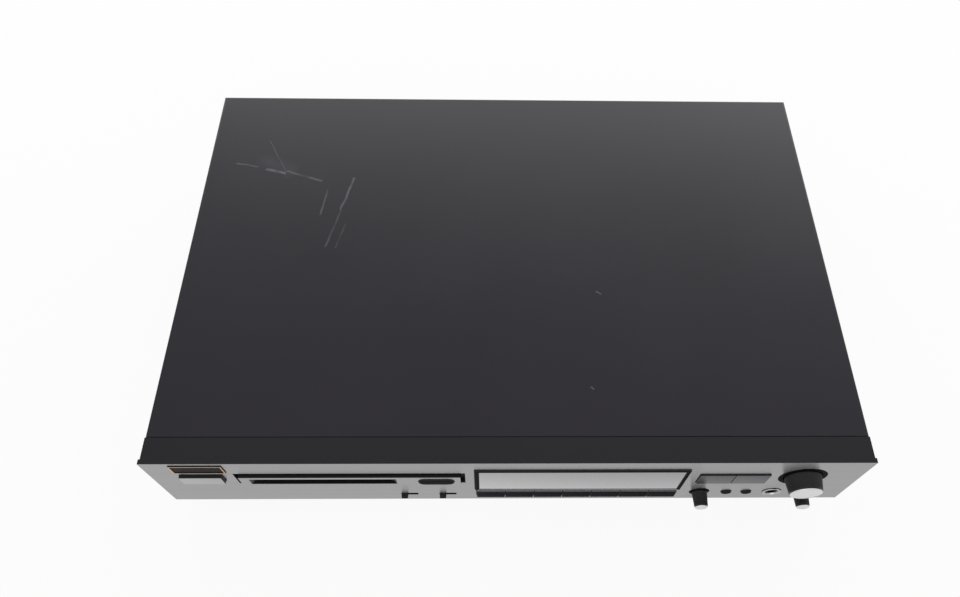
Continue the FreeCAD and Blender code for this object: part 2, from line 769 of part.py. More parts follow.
def level_knob(label, middle):
    """Tapered knob with a flat skirt and a shaft, and its bright end cap."""
    place = (middle, "row")
    tip = "front - 0.4 - knob_long"
    pieces = [
        rod(label + "_skirt", "y", place, ("front - 0.4", "fascia_back - 0.3"), "knob_skirt_wide"),
        taper(label + "_body", "y", place, (tip, "front - 0.4"), "knob_end_wide", "knob_wide"),
        rod(label + "_shaft", "y", place, ("fascia_back - 0.3", "switch_face - seat_gap"), "shaft_wide"),
    ]
    keep(label, joined(label + "_all", pieces))
    cap_y = (f"{tip} - cap_thick", tip)
    keep(label + "_cap", rod(label + "_disc", "y", place, cap_y, "knob_end_wide - 0.4"))


def jog_dial():
    place = ("jog_middle", "base + jog_high")
    tip = "front - knob_out + cap_thick"
    pieces = [
        taper("JogBody", "y", place, (tip, "front - 0.1"), "jog_end_wide", "jog_wide"),
        rod("JogShaft", "y", place, ("front - 0.1", "switch_face - seat_gap"), "shaft_wide"),
    ]
    keep("jog_dial", joined("Jog", pieces))
    keep("jog_dial_cap", rod("JogCap", "y", place, ("front - knob_out", tip), "jog_end_wide - 0.6"))
    ring_y = ("front - 0.2", "fascia_back")
    ring = rod("JogRingDisc", "y", place, ring_y, "jog_ring_wide - 0.2")
    hole = rod("JogRingHole", "y", place, ring_y, "jog_wide + 1")
    recess = rod("JogRingShaft", "y", place, ring_y, "shaft_wide + 1")
    back = rod("JogRingBack", "y", place, ("fascia_back - 1", "fascia_back"), "jog_wide + 2")
    keep("jog_ring", joined("JogRing", [less("JogRim", ring, [hole]), less("JogBack", back, [recess])]))


def front_board():
    """Key board behind the panel, and a small board for the power switch."""
    y = ("board_face", "board_face + board_thick")
    z = ("floor_top + front_lip_high + seat_gap", "base + fascia_high - 10")
    main = block("BoardWide", ("eject_middle - 14", "side_in - 8"), y, z)
    small = block("BoardPower", ("-side_in + 6", "drive_left - 4"), y, z)
    keep("front_board", joined("FrontBoard", [main, small]))


def switch_bodies():
    """Push switches, slide switches and rotary controls on the front boards."""
    y = ("switch_face", "board_face")
    made = []

    def body_at(x, z, half):
        name = f"SwitchBody{len(made)}"
        span_x = (f"{x} - {half}", f"{x} + {half}")
        made.append(block(name, span_x, y, (f"{z} - {half}", f"{z} + {half}")))

    key_z = "base + key_low + key_high / 2"
    for index in range(7):
        body_at(f"key_left + {index + 0.5} * key_pitch", key_z, 3)
    play_z = "base + play_low + play_high / 2"
    for part in (0.25, 0.75):
        body_at(f"play_left + {part} * play_wide", play_z, 3)
    body_at("eject_middle", "slot_top - eject_high / 2", 3)
    body_at("power_left + power_wide / 2", "base + power_low + power_high / 2", 5)
    for x in ("round_left", "round_right"):
        body_at(x, "row", 3)
    for x in ("level_middle", "phones_middle"):
        body_at(x, "row", 6)
    body_at("jog_middle", "base + jog_high", 8)
    for left in ("timer_left", "input_left"):
        body_at(f"{left} + switch_slot_wide / 2", "base + switch_slot_low + switch_slot_high / 2", 5)
    keep("switch_bodies", joined("SwitchBodies", made))


def main_board():
    body = body_named("MainBoard")
    outline = box_loop(("main_board_left", "main_board_right"), ("main_near", "main_far"))
    grow(body, "z", ("main_top - board_thick", "main_top"), [outline])
    holes = [("round", x, y, "screw_wide + 2 * screw_hole_gap") for x, y in STANDOFFS]
    hollow(body, "z", ("main_top - board_thick", "main_top"), holes)
    keep("main_board", body)


def board_parts():
    """Supply capacitors, chips and the finned heat sink on the main board."""
    cans = []
    for index in range(4):
        place = (f"main_board_left + 26 + {index} * (can_wide + 6)", "main_far - 70")
        cans.append(rod(f"Can{index}", "z", place, ("main_top", "main_top + can_high"), "can_wide"))
    keep("capacitors", joined("Capacitors", cans))
    chips = []
    for index, (across, along) in enumerate(((110, 30), (150, 60), (190, 34), (150, 20), (210, 80))):
        x = (f"main_board_left + {across}", f"main_board_left + {across} + 18")
        y = (f"main_near + {along}", f"main_near + {along} + 14")
        chips.append(block(f"Chip{index}", x, y, ("main_top", "main_top + chip_high")))
    keep("board_chips", joined("Chips", chips))
    z = ("main_top", "main_top + fin_high")
    fins = [block("FinBack", ("main_board_left + 16", "main_board_left + 72"), ("main_far - 46", "main_far - 46 + fin_thick"), z)]
    for index in range(8):
        x = f"main_board_left + 16 + {index} * (56 - fin_thick) / 7"
        fins.append(block(f"Fin{index}", (x, f"{x} + fin_thick"), ("main_far - 46", "main_far - 32"), z))
    keep("heat_sink", joined("HeatSink", fins))


def transformer():
    """Laminated core that stands on the tray, and its two-chamber winding."""
    x = ("core_middle - core_wide / 2", "core_middle + core_wide / 2")
    y = ("core_near", "core_near + core_deep")
    z = ("floor_top", "floor_top + core_high")
    core = block("CoreBlock", x, y, z)
    windows = []
    window_z = ("floor_top + core_yoke", "floor_top + core_high - core_yoke")
    sides = (
        (f"{x[0]} + core_yoke", "core_middle - core_leg"),
        ("core_middle + core_leg", f"{x[1]} - core_yoke"),
    )
    for index, span in enumerate(sides):
        windows.append(block(f"CoreWindow{index}", span, y, window_z))
    keep("transformer_core", less("Core", core, windows))
    coil_z = wider(window_z, "-seat_gap")
    outer_x = wider((sides[0][0], sides[1][1]), "-seat_gap")
    outer = block("CoilOuter", outer_x, (f"{y[0]} - coil_wall", f"{y[1]} + coil_wall"), coil_z)
    inner_x = wider((sides[0][1], sides[1][0]), "seat_gap")
    inner = block("CoilInner", inner_x, (f"{y[0]} - seat_gap", f"{y[1]} + seat_gap"), coil_z)
    keep("transformer_winding", less("Coil", outer, [inner]))


def round_sockets(label, places, half, collar_y, bore_y, bore_wide):
    """Bored sockets side by side; each has a collar and its own block behind the panel."""
    sockets = []
    for index, (across, height) in enumerate(places):
        x = (f"{across} - {half}", f"{across} + {half}")
        z = (f"{height} - {half}", f"{height} + {half}")
        behind = ("panel_face - socket_body_deep", "panel_face")
        pieces = [
            block(f"{label}Block{index}", x, behind, z),
            rod(f"{label}Collar{index}", "y", (across, height), collar_y, "8.3"),
        ]
        bore = rod(f"{label}Bore{index}", "y", (across, height), bore_y, bore_wide)
        solid = joined(f"{label}Solid{index}", pieces)
        sockets.append(less(f"{label}Socket{index}", solid, [bore]))
    return joined(f"{label}Sockets", sockets)


def rear_sockets():
    """Phono sockets, optical ports, remote sockets and the mains inlet."""
    behind = ("panel_face - socket_body_deep", "panel_face")
    sleeve = ("panel_face", "rear + jack_out")
    bore = ("panel_face - 6", "rear + jack_out")
    keep("analogue_jacks", round_sockets("Audio", AUDIO_PLACES, 8, sleeve, bore, "3.4"))
    ports = []
    for index, (across, height) in enumerate(PORT_PLACES):
        span_x = (f"{across} - port_wide / 2", f"{across} + port_wide / 2")
        span_z = (f"{height} - port_wide / 2", f"{height} + port_wide / 2")
        housing = block(f"Port{index}", span_x, (behind[0], "rear + 0.6"), span_z)
        shade = block(f"PortShade{index}", wider(span_x, "-2"), ("rear - 0.6", "rear + 0.6"), wider(span_z, "-2"))
        ports.append(less(f"PortBody{index}", housing, [shade]))
    keep("optical_ports", joined("Ports", ports))
    collar = ("panel_face", "rear + 1")
    bore = ("panel_face - 12", "rear + 1")
    keep("remote_jacks", round_sockets("Remote", REMOTE_PLACES, 6, collar, bore, "3.5"))
    face = ("panel_face - inlet_deep - 2", "rear + 0.5")
    shell = block("InletShell", INLET_X, face, INLET_Z)
    room = block("InletRoom", wider(INLET_X, "-3.5"), ("rear + 0.5 - inlet_deep", "rear + 0.5"), wider(INLET_Z, "-2.8"))
    pins = []
    for index, way in enumerate(("-", "+")):
        place = (f"inlet_left {way} 4.3", "base + socket_high")
        pins.append(rod(f"InletPin{index}", "y", place, ("rear + 0.5 - inlet_deep", "rear - 1.5"), "2.4"))
    keep("ac_inlet", joined("Inlet", [less("InletBody", shell, [room])] + pins))


def slot_door():
    """Flap that closes the disc slot from inside and swings in about its top edge."""
    y = ("wall_back + 0.3", "wall_back + 1.5")
    leaf = block("DoorLeaf", wider(SLOT_X, "1"), y, ("base + slot_low - 0.6", "slot_top + 1"))
    axle = rod("DoorAxle", "x", ("wall_back + 1.5", "slot_top + 1.4"), wider(SLOT_X, "3"), "2.4")
    keep("slot_door", joined("Door", [leaf, axle]))




def drive_frame():
    """Folded drive tray: floor, two side walls and a slot for the pickup."""
    body = body_named("Drive")
    x = ("drive_left", "drive_right")
    y = ("drive_near", "drive_far")
    z = ("drive_base", "drive_base + drive_wall")
    grow(body, "z", z, [box_loop(x, y)])
    wall_z = (z[1], "holder_base + holder_high + 6")
    walls = [box_loop((x[0], f"{x[0]} + drive_wall"), y), box_loop((f"{x[1]} - drive_wall", x[1]), y)]
    grow(body, "z", wall_z, walls)
    hub = ("round", "slot_middle", "disc_y", "motor_wide + 1")
    hollow(body, "z", z, [hub])
    keep("drive_frame", body)


def drive_dampers():
    """Four posts with rubber bushes that carry the drive on the tray."""
    made = []
    for x in ("drive_left + 8", "drive_right - 8"):
        for y in ("drive_near + 8", "drive_far - 8"):
            name = f"Damper{len(made)}"
            made.append(rod(name, "z", (x, y), ("floor_top", "drive_base"), "damper_wide"))
    keep("drive_dampers", joined("Dampers", made))


ARM_PLACE = ("holder_far - 3", "holder_base + holder_high + 1.5")


def cartridge_holder():
    """Open-ended sleeve that takes the disc and drops it onto the turntable."""
    x = ("slot_middle - holder_wide / 2", "slot_middle + holder_wide / 2")
    y = ("holder_near", "holder_far")
    z = ("holder_base", "holder_base + holder_high")
    sleeve = block("HolderSleeve", x, y, z)
    room = block("HolderRoom", wider(x, "-holder_wall"), y, wider(z, "-holder_wall"))
    window_x = ("slot_middle - 18", "slot_middle + 18")
    window_y = ("disc_y - 16", "holder_far - 6")
    window = block("HolderWindow", window_x, window_y, z)
    sleeve_open = less("HolderOpen", sleeve, [room, window])
    ears = []
    for index, edge in enumerate(("drive_left + drive_wall + slider_thick + 0.9", x[1])):
        end = x[0] if index == 0 else "drive_right - drive_wall - slider_thick - 0.9"
        span = (edge, end)
        ears.append(block(f"HolderEar{index}", span, ("disc_y - 4", "disc_y + 4"), (z[0], f"{z[0]} + 2")))
    posts = []
    for index, low in enumerate(("slot_middle - 12", "slot_middle + 10")):
        span = (low, f"{low} + 2")
        post = block(f"HolderPost{index}", span, ("holder_far - 5", "holder_far - 1"), (z[1], f"{z[1]} + 3"))
        bore = rod(f"HolderBore{index}", "x", ARM_PLACE, span, "arm_axle_wide + 2 * rod_fit")
        posts.append(less(f"HolderPostBored{index}", post, [bore]))
    keep("cartridge_holder", joined("Holder", [sleeve_open] + ears + posts))


GEAR_PLACE = ("drive_right - drive_wall - 12", "drive_far - 20")
SLED_GEAR_PLACE = ("slot_middle + sled_wide / 2 + gear_wide / 2 + seat_gap", "disc_y + 20")


def loading_slider():
    """Two sliding side plates, joined by a bar across the back, that lower the holder."""
    y = ("drive_near + 6", "drive_far - 4 - slider_travel")
    z = ("drive_base + drive_wall + 0.3", "holder_base + holder_high + 4")
    pieces = []
    spans = (
        ("drive_left + drive_wall + 0.3", "drive_left + drive_wall + 0.3 + slider_thick"),
        ("drive_right - drive_wall - 0.3 - slider_thick", "drive_right - drive_wall - 0.3"),
    )
    for index, span in enumerate(spans):
        pieces.append(block(f"SliderSide{index}", span, y, z))
    bar_y = (f"{y[1]} - 3", y[1])
    bar_z = (f"{z[1]} - 4", z[1])
    pieces.append(block("SliderBar", (spans[0][0], spans[1][1]), bar_y, bar_z))
    rack_x = (f"{GEAR_PLACE[0]} + gear_wide / 2 + seat_gap", spans[1][0])
    rack_z = (z[0], f"{z[0]} + gear_thick")
    pieces.append(block("SliderRack", rack_x, ("drive_far - 44", y[1]), rack_z))
    keep("loading_slider", joined("Slider", pieces))


def toothed_wheel(label, place, low):
    """A spur wheel whose tooth gaps are one round notch repeated about its axis."""
    body = body_named(label + "_wheel")
    grow(body, "z", ("0", "gear_thick"), [("round", "0", "0", "gear_wide")])
    notch = hollow(body, "z", ("0", "gear_thick"), [("round", "gear_wide / 2", "0", "tooth_gap")])
    ring = body.newObject("PartDesign::PolarPattern", body.Name + "Ring")
    ring.Originals = [notch]
    ring.Axis = (notch.Profile[0], ["N_Axis"])
    ring.Angle = 360
    bind(ring, "Occurrences", "gear_teeth")
    body.Tip = ring
    for axis, text in zip("xyz", (place[0], place[1], low)):
        bind(body, f".Placement.Base.{axis}", text)
    keep(label, body)


def gears_and_motors():
    """Loading gear, sled gear and the three small motors under the tray."""
    for label, place in (("loading_gear", GEAR_PLACE), ("sled_gear", SLED_GEAR_PLACE)):
        toothed_wheel(label, place, "drive_base + drive_wall + seat_gap")
    low = ("drive_base - 9", "drive_base")
    motors = [
        rod("MotorLoad", "z", GEAR_PLACE, low, "12"),
        rod("MotorSled", "z", SLED_GEAR_PLACE, low, "12"),
        rod("MotorSpindle", "z", ("slot_middle", "disc_y"), ("drive_base - 4", "hub_top - 1"), "motor_wide"),
    ]
    keep("drive_motors", joined("Motors", motors))
    hub = rod("Hub", "z", ("slot_middle", "disc_y"), ("hub_top - 1 + seat_gap", "hub_top + hub_high"), "11")
    keep("turntable", hub)


def pickup():
    """Laser sled on two rods."""
    near = "disc_y + 15"
    x = ("slot_middle - sled_wide / 2", "slot_middle + sled_wide / 2")
    z_rod = "drive_base + drive_wall + 2.6"
    rods = []
    ends = (f"{near} - 3", f"{near} + sled_long + sled_travel + 1")
    for index, across in enumerate(("slot_middle - 10", "slot_middle + 10")):
        rods.append(rod(f"Guide{index}", "y", (across, z_rod), ends, "rod_wide"))
        for tip, at in enumerate(ends):
            holder_x = (f"{across} - 3", f"{across} + 3")
            span = (f"{at} - 3", at) if tip == 0 else (at, f"{at} + 3")
            rods.append(block(f"GuideSeat{index}{tip}", holder_x, span, ("drive_base + drive_wall", f"{z_rod} + 2")))
    keep("guide_rods", joined("Guides", rods))
    z = (f"{z_rod} - sled_high / 2 - 0.8", f"{z_rod} + sled_high / 2 + 0.8")
    sled = block("SledBlock", x, (near, f"{near} + sled_long"), z)
    bores = []
    for index, across in enumerate(("slot_middle - 10", "slot_middle + 10")):
        span = (near, f"{near} + sled_long")
        bores.append(rod(f"SledBore{index}", "y", (across, z_rod), span, "rod_wide + 2 * rod_fit"))
    lens = rod("SledLens", "z", ("slot_middle", f"{near} + sled_long / 2"), (z[1], f"{z[1]} + 0.8"), "6")
    keep("optical_sled", joined("Sled", [less("SledBody", sled, bores), lens]))


def head_arm():
    """Arm with the magnetic head, hinged between two posts on top of the holder."""
    low = "holder_base + holder_high + 1"
    z = (low, f"{low} + arm_thick")
    arm = block("ArmLeaf", ("slot_middle - 8", "slot_middle + 8"), ("disc_y", ARM_PLACE[0]), z)
    head = block("ArmHead", ("slot_middle - 3", "slot_middle + 3"), ("disc_y", "disc_y + 6"), (f"{low} - 0.7", low))
    axle = rod("ArmAxle", "x", ARM_PLACE, ("slot_middle - 12", "slot_middle + 12"), "arm_axle_wide")
    keep("head_arm", joined("HeadArm", [arm, head, axle]))


front_fascia()
front_bezel()
top_cover()
base_chassis()
rear_panel()
feet()
screws()
badge_plate()
slot_insert()
eject_button()
power_button()
keys()
round_button("record_button", "round_left")
round_button("monitor_button", "round_right")
slide_knob("timer_switch_knob", "timer_left")
slide_knob("input_switch_knob", "input_left")
display()
phones_jack()
level_knob("level_knob", "level_middle")
level_knob("phones_knob", "phones_middle")
jog_dial()
front_board()
switch_bodies()
main_board()
board_parts()
transformer()
rear_sockets()
slot_door()
drive_frame()
drive_dampers()
cartridge_holder()
loading_slider()
gears_and_motors()
pickup()
head_arm()

document.recompute()
for thing in document.Objects:
    if "Invalid" in thing.State or "Error" in thing.State:
        raise RuntimeError(f"{thing.Name} failed: {thing.State}")
os.makedirs("parts", exist_ok=True)
for label, thing in nodes.items():
    shape = thing.Shape
    if shape.isNull() or not shape.isValid():
        raise RuntimeError(f"{label} has no valid shape")
    shape.exportStep(f"parts/{label}.step")
    box = shape.BoundBox
    corners = (box.XMin, box.YMin, box.ZMin, box.XMax, box.YMax, box.ZMax)
    print(label, len(shape.Solids), " ".join(f"{value:.1f}" for value in corners))
print(len(nodes), "sub-parts")
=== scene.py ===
# %% [markdown]
# The minidisc deck is a flat dark steel box with a silver front.
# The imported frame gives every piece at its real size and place, in metres.
# This file gives each piece its finish, rounds the edges that a hand would feel,
# and adds the small turned and moulded shapes that the plain solids leave out.

# %% Load the frame
import json
import math

import bmesh
import bpy
import numpy as np
from mathutils import Matrix, Vector


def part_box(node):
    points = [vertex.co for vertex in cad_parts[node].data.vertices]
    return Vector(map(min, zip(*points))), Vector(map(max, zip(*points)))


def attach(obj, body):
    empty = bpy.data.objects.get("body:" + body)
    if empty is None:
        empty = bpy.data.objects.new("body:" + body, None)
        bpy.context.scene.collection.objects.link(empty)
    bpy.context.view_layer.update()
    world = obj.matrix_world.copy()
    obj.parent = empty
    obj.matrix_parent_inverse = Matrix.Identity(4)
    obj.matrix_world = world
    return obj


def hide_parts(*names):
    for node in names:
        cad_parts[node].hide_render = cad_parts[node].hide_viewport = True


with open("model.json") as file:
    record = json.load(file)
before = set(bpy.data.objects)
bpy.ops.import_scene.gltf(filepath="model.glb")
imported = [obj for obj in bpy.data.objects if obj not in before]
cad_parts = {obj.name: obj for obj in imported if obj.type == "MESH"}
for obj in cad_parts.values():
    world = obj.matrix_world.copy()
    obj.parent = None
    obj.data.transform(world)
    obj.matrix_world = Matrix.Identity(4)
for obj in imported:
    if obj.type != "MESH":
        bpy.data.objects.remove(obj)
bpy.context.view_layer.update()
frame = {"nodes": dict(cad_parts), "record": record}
record = frame["record"]
BODY_OF = {node: body for body, nodes in record["behaviour"]["bodies"].items() for node in nodes}
SLOT_OF = {row["node"]: row["material_slot"] for row in record["subparts"]}
MM = 0.001
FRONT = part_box("front_fascia")[0][1]
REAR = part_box("rear_panel")[1][1]
print("front plate at", round(FRONT / MM, 2), "mm and rear panel at", round(REAR / MM, 2), "mm")

# %% [markdown]
# The photograph looks down on the deck from in front at about 59 degrees.
# A camera can be placed by eye or worked out from measured corners. Here it was
# worked out, so its place and angles are plain numbers: where it stands, how far
# it turns, tips and rolls, and how far its axis lies from the picture's middle.

# %% Camera
PICTURE_WIDE, PICTURE_HIGH = 960, 597
FOCAL_PIXELS = 798.5
AXIS_PIXEL = (506.8, 295.0)
SENSOR_WIDE = 36
CAMERA_PLACE = Vector((-13.4, -298.2, 533.2)) * MM
TURN, TIP, ROLL = (math.radians(angle) for angle in (2.5, 59.05, 2.3))


def add_object(name, data):
    """A camera, lamp or piece enters the scene at the origin, unturned."""
    made = bpy.data.objects.new(name, data)
    bpy.context.scene.collection.objects.link(made)
    return made


def add_camera():
    """Right, up and forward are worked out from the three angles and fill the camera's matrix."""
    lens = bpy.data.cameras.new("camera")
    lens.sensor_width = SENSOR_WIDE
    lens.lens = FOCAL_PIXELS * SENSOR_WIDE / PICTURE_WIDE
    lens.shift_x = (PICTURE_WIDE / 2 - AXIS_PIXEL[0]) / PICTURE_WIDE
    lens.shift_y = (AXIS_PIXEL[1] - PICTURE_HIGH / 2) / PICTURE_WIDE
    lens.clip_start = 10 * MM
    ahead = Vector((math.sin(TURN) * math.cos(TIP), math.cos(TURN) * math.cos(TIP), -math.sin(TIP)))
    level = Vector((math.cos(TURN), -math.sin(TURN), 0))
    above = level.cross(ahead)
    right = math.cos(ROLL) * level + math.sin(ROLL) * above
    up = math.cos(ROLL) * above - math.sin(ROLL) * level
    turned_axes = Matrix((right, up, -ahead)).transposed().to_4x4()
    camera = add_object("camera", lens)
    camera.matrix_world = Matrix.Translation(CAMERA_PLACE) @ turned_axes
    bpy.context.scene.camera = camera
    print("lens", round(lens.lens, 2), "mm")


add_camera()

# %% [markdown]
# A material or a world is a tree of nodes. Building it in code is mostly the same few
# moves, a sum, a change of range, a patch of noise, so each move gets a short helper.
# An input takes a fixed number or vector, or the output of another node.

# %% Node helpers


def feed(tree, entry, target):
    """Give an input a fixed number or vector, or link another node's output to it."""
    if isinstance(entry, (int, float, tuple)):
        target.default_value = entry
    else:
        tree.links.new(entry, target)


def set_inputs(node, values):
    """Write fixed values to inputs by their names."""
    for name, value in values.items():
        node.inputs[name].default_value = value


def math_node(tree, operation, *entries):
    """One sum with numbers."""
    node = tree.nodes.new("ShaderNodeMath")
    node.operation = operation
    for index, entry in enumerate(entries):
        feed(tree, entry, node.inputs[index])
    return node.outputs[0]


def vector_node(tree, operation, *entries, out="Vector"):
    """One sum with vectors; lengths, distances and dot products come out under Value."""
    node = tree.nodes.new("ShaderNodeVectorMath")
    node.operation = operation
    for index, entry in enumerate(entries):
        feed(tree, entry, node.inputs[index])
    return node.outputs[out]


def range_node(tree, value, source, target):
    """As the value runs through the source range, the result runs through the target range."""
    node = tree.nodes.new("ShaderNodeMapRange")
    feed(tree, value, node.inputs["Value"])
    labels = ("From Min", "From Max", "To Min", "To Max")
    set_inputs(node, dict(zip(labels, source + target)))
    return node.outputs["Result"]


def held_node(tree, value):
    """The value, held between 0 and 1."""
    node = tree.nodes.new("ShaderNodeClamp")
    feed(tree, value, node.inputs["Value"])
    return node.outputs[0]


def noise_node(tree, place, scale, detail, out="Fac"):
    """Cloudy noise at the place; a larger scale gives smaller clouds."""
    node = tree.nodes.new("ShaderNodeTexNoise")
    feed(tree, place, node.inputs["Vector"])
    feed(tree, scale, node.inputs["Scale"])
    node.inputs["Detail"].default_value = detail
    return node.outputs[out]


def object_place(tree):
    """The point on the piece in metres, which stays with the piece as it moves."""
    return tree.nodes.new("ShaderNodeTexCoord").outputs["Object"]


def mixed_shader(tree, share, first, second):
    """The first surface at a share of 0, the second at a share of 1."""
    node = tree.nodes.new("ShaderNodeMixShader")
    for index, entry in enumerate((share, first, second)):
        feed(tree, entry, node.inputs[index])
    return node.outputs[0]


print("node helpers ready")

# %% [markdown]
# A product picture has a pure white surround, but pure white light from all sides would
# wash out the dark cover. So the world has two strengths: full white where the camera
# or a mirror-like surface looks at it, and a dim white where it lights the deck.

# %% World
WHITE = (1, 1, 1, 1)
DIM_WHITE = 0.36


def shown_white(tree):
    """1 for rays that come straight from the camera or by way of metal or glass, else 0."""
    path = tree.nodes.new("ShaderNodeLightPath")
    rays = path.outputs["Is Camera Ray"]
    for label in ("Is Glossy Ray", "Is Transmission Ray"):
        rays = math_node(tree, "MAXIMUM", rays, path.outputs[label])
    return rays


def background(tree, strength):
    """White light of one strength."""
    light = tree.nodes.new("ShaderNodeBackground")
    set_inputs(light, {"Color": WHITE, "Strength": strength})
    return light.outputs[0]


def add_world():
    """The dim and the full white share one world, and the kind of ray chooses between them."""
    world = bpy.data.worlds.new("studio")
    world.use_nodes = True
    bpy.context.scene.world = world
    tree = world.node_tree
    tree.nodes.clear()
    both = mixed_shader(tree, shown_white(tree), background(tree, DIM_WHITE), background(tree, 1.0))
    out = tree.nodes.new("ShaderNodeOutputWorld")
    feed(tree, both, out.inputs["Surface"])


add_world()
bpy.context.scene.view_settings.view_transform = "Standard"
print("world lights the deck at", DIM_WHITE)

# %% [markdown]
# The deck stands on a white sweep that keeps its soft shadow. A floor could be a shadow
# catcher with nothing else. Here it is a real surface that is mostly its own white to
# the camera, so the shadow stays pale and its far edge melts into the white world.

# %% Floor
FLOOR_HALF = 6.0
FLOOR_GREY = 0.86
FLOOR_ROUGH = 0.9
OWN_WHITE = 0.93
FADE = (0.3, 1.6)


def add_floor():
    """A flat square; the share of its own white grows with the distance from the deck."""
    half = FLOOR_HALF
    corners = [(-half, -half, 0), (half, -half, 0), (half, half, 0), (-half, half, 0)]
    mesh = bpy.data.meshes.new("floor")
    mesh.from_pydata(corners, [], [(0, 1, 2, 3)])
    floor = add_object("floor", mesh)
    material = bpy.data.materials.new("floor_white")
    material.use_nodes = True
    tree = material.node_tree
    surface = tree.nodes["Principled BSDF"]
    set_inputs(surface, {"Base Color": (*[FLOOR_GREY] * 3, 1), "Roughness": FLOOR_ROUGH})
    glow = tree.nodes.new("ShaderNodeEmission")
    away = vector_node(tree, "LENGTH", object_place(tree), out="Value")
    own = range_node(tree, away, FADE, (OWN_WHITE, 1.0))
    share = math_node(tree, "MULTIPLY", shown_white(tree), own)
    mixed = mixed_shader(tree, share, surface.outputs[0], glow.outputs[0])
    feed(tree, mixed, tree.nodes["Material Output"].inputs["Surface"])
    mesh.materials.append(material)


add_floor()
print("floor", 2 * FLOOR_HALF, "m wide")

# %% [markdown]
# The cover in the photograph is lighter towards its rear edge, as a satin sheet is that
# mirrors a long soft light behind it. One wide softbox stands behind the deck for that,
# and a weaker one in front lights the silver plate.

# %% Lights


def add_softbox(name, place, target, size, power):
    """A rectangle of soft light that looks at a point; place, target and size are in metres."""
    light = bpy.data.lights.new(name, "AREA")
    light.shape = "RECTANGLE"
    light.size, light.size_y = size
    light.energy = power
    lamp = add_object(name, light)
    lamp.location = place
    lamp.rotation_euler = (Vector(target) - Vector(place)).to_track_quat("-Z", "Y").to_euler()
    print(name, power, "W")


add_softbox("rear_softbox", (0.25, 1.7, 1.05), (0.05, 0.1, 0.08), (3.0, 0.9), 42)
add_softbox("front_softbox", (-0.5, -1.9, 1.3), (0, -0.1, 0.04), (2.0, 1.2), 9)

# %% [markdown]
# Moulded plastic and paint are never quite even: under a lens the skin is pebbled, and
# the sheen drifts slowly from place to place. One node group gives both as noise, fine
# for the height and slow for the tone, and each finish sets how fine its grain is.

# %% Grain
FLOAT = "NodeSocketFloat"
VECTOR = "NodeSocketVector"


def new_group(name, inputs, outputs):
    """An empty node group; inputs are name, kind and starting value, outputs name and kind."""
    group = bpy.data.node_groups.new(name, "ShaderNodeTree")
    for label, kind, value in inputs:
        made = group.interface.new_socket(label, in_out="INPUT", socket_type=kind)
        made.default_value = value
    for label, kind in outputs:
        group.interface.new_socket(label, in_out="OUTPUT", socket_type=kind)
    return group, group.nodes.new("NodeGroupInput"), group.nodes.new("NodeGroupOutput")


def place_group(tree, group, values):
    """The group as one node of a material, with its inputs set."""
    node = tree.nodes.new("ShaderNodeGroup")
    node.node_tree = group
    set_inputs(node, values)
    return node


def make_grain():
    """Height is fine noise of the given scale; Tone is slow noise for uneven sheen."""
    group, given, result = new_group(
        "fine_grain",
        [("Scale", FLOAT, 1500.0), ("Cloud Scale", FLOAT, 9.0)],
        [("Height", FLOAT), ("Tone", FLOAT)],
    )
    place = object_place(group)
    for source, target, detail in (("Scale", "Height", 3), ("Cloud Scale", "Tone", 5)):
        noise = noise_node(group, place, given.outputs[source], detail)
        feed(group, noise, result.inputs[target])
    return group


GRAIN = make_grain()
print("shared effect:", GRAIN.name)

# %% [markdown]
# The front plate was drawn along a brushing belt, which leaves fine lines along the
# deck's width. Lines could be modelled as grooves, but they are thousandths of a
# millimetre deep, so noise that is stretched along X stands for them.

# %% Brushed lines


def make_brushed():
    """Noise stretched along X, so that it reads as the lines of a brushing belt."""
    group, given, result = new_group(
        "brushed_lines", [("Stretch", VECTOR, (6.0, 900.0, 2600.0))], [("Height", FLOAT), ("Tone", FLOAT)]
    )
    stretched = vector_node(group, "MULTIPLY", object_place(group), given.outputs["Stretch"])
    for target, scale in (("Height", 1.0), ("Tone", 0.35)):
        noise = noise_node(group, stretched, scale, 4)
        feed(group, noise, result.inputs[target])
    return group


BRUSHED = make_brushed()
print("shared effect:", BRUSHED.name)

# %% [markdown]
# A scratch is a thin line that wanders a little and skips where the tool lifted. The
# distance from a point to a straight segment gives the line, noise moves the point a
# little first, and a second noise leaves gaps. The group gives only the mask.

# %% Scratch line
WANDER = 2.2 * MM
SKIPS = (0.15, 0.6)


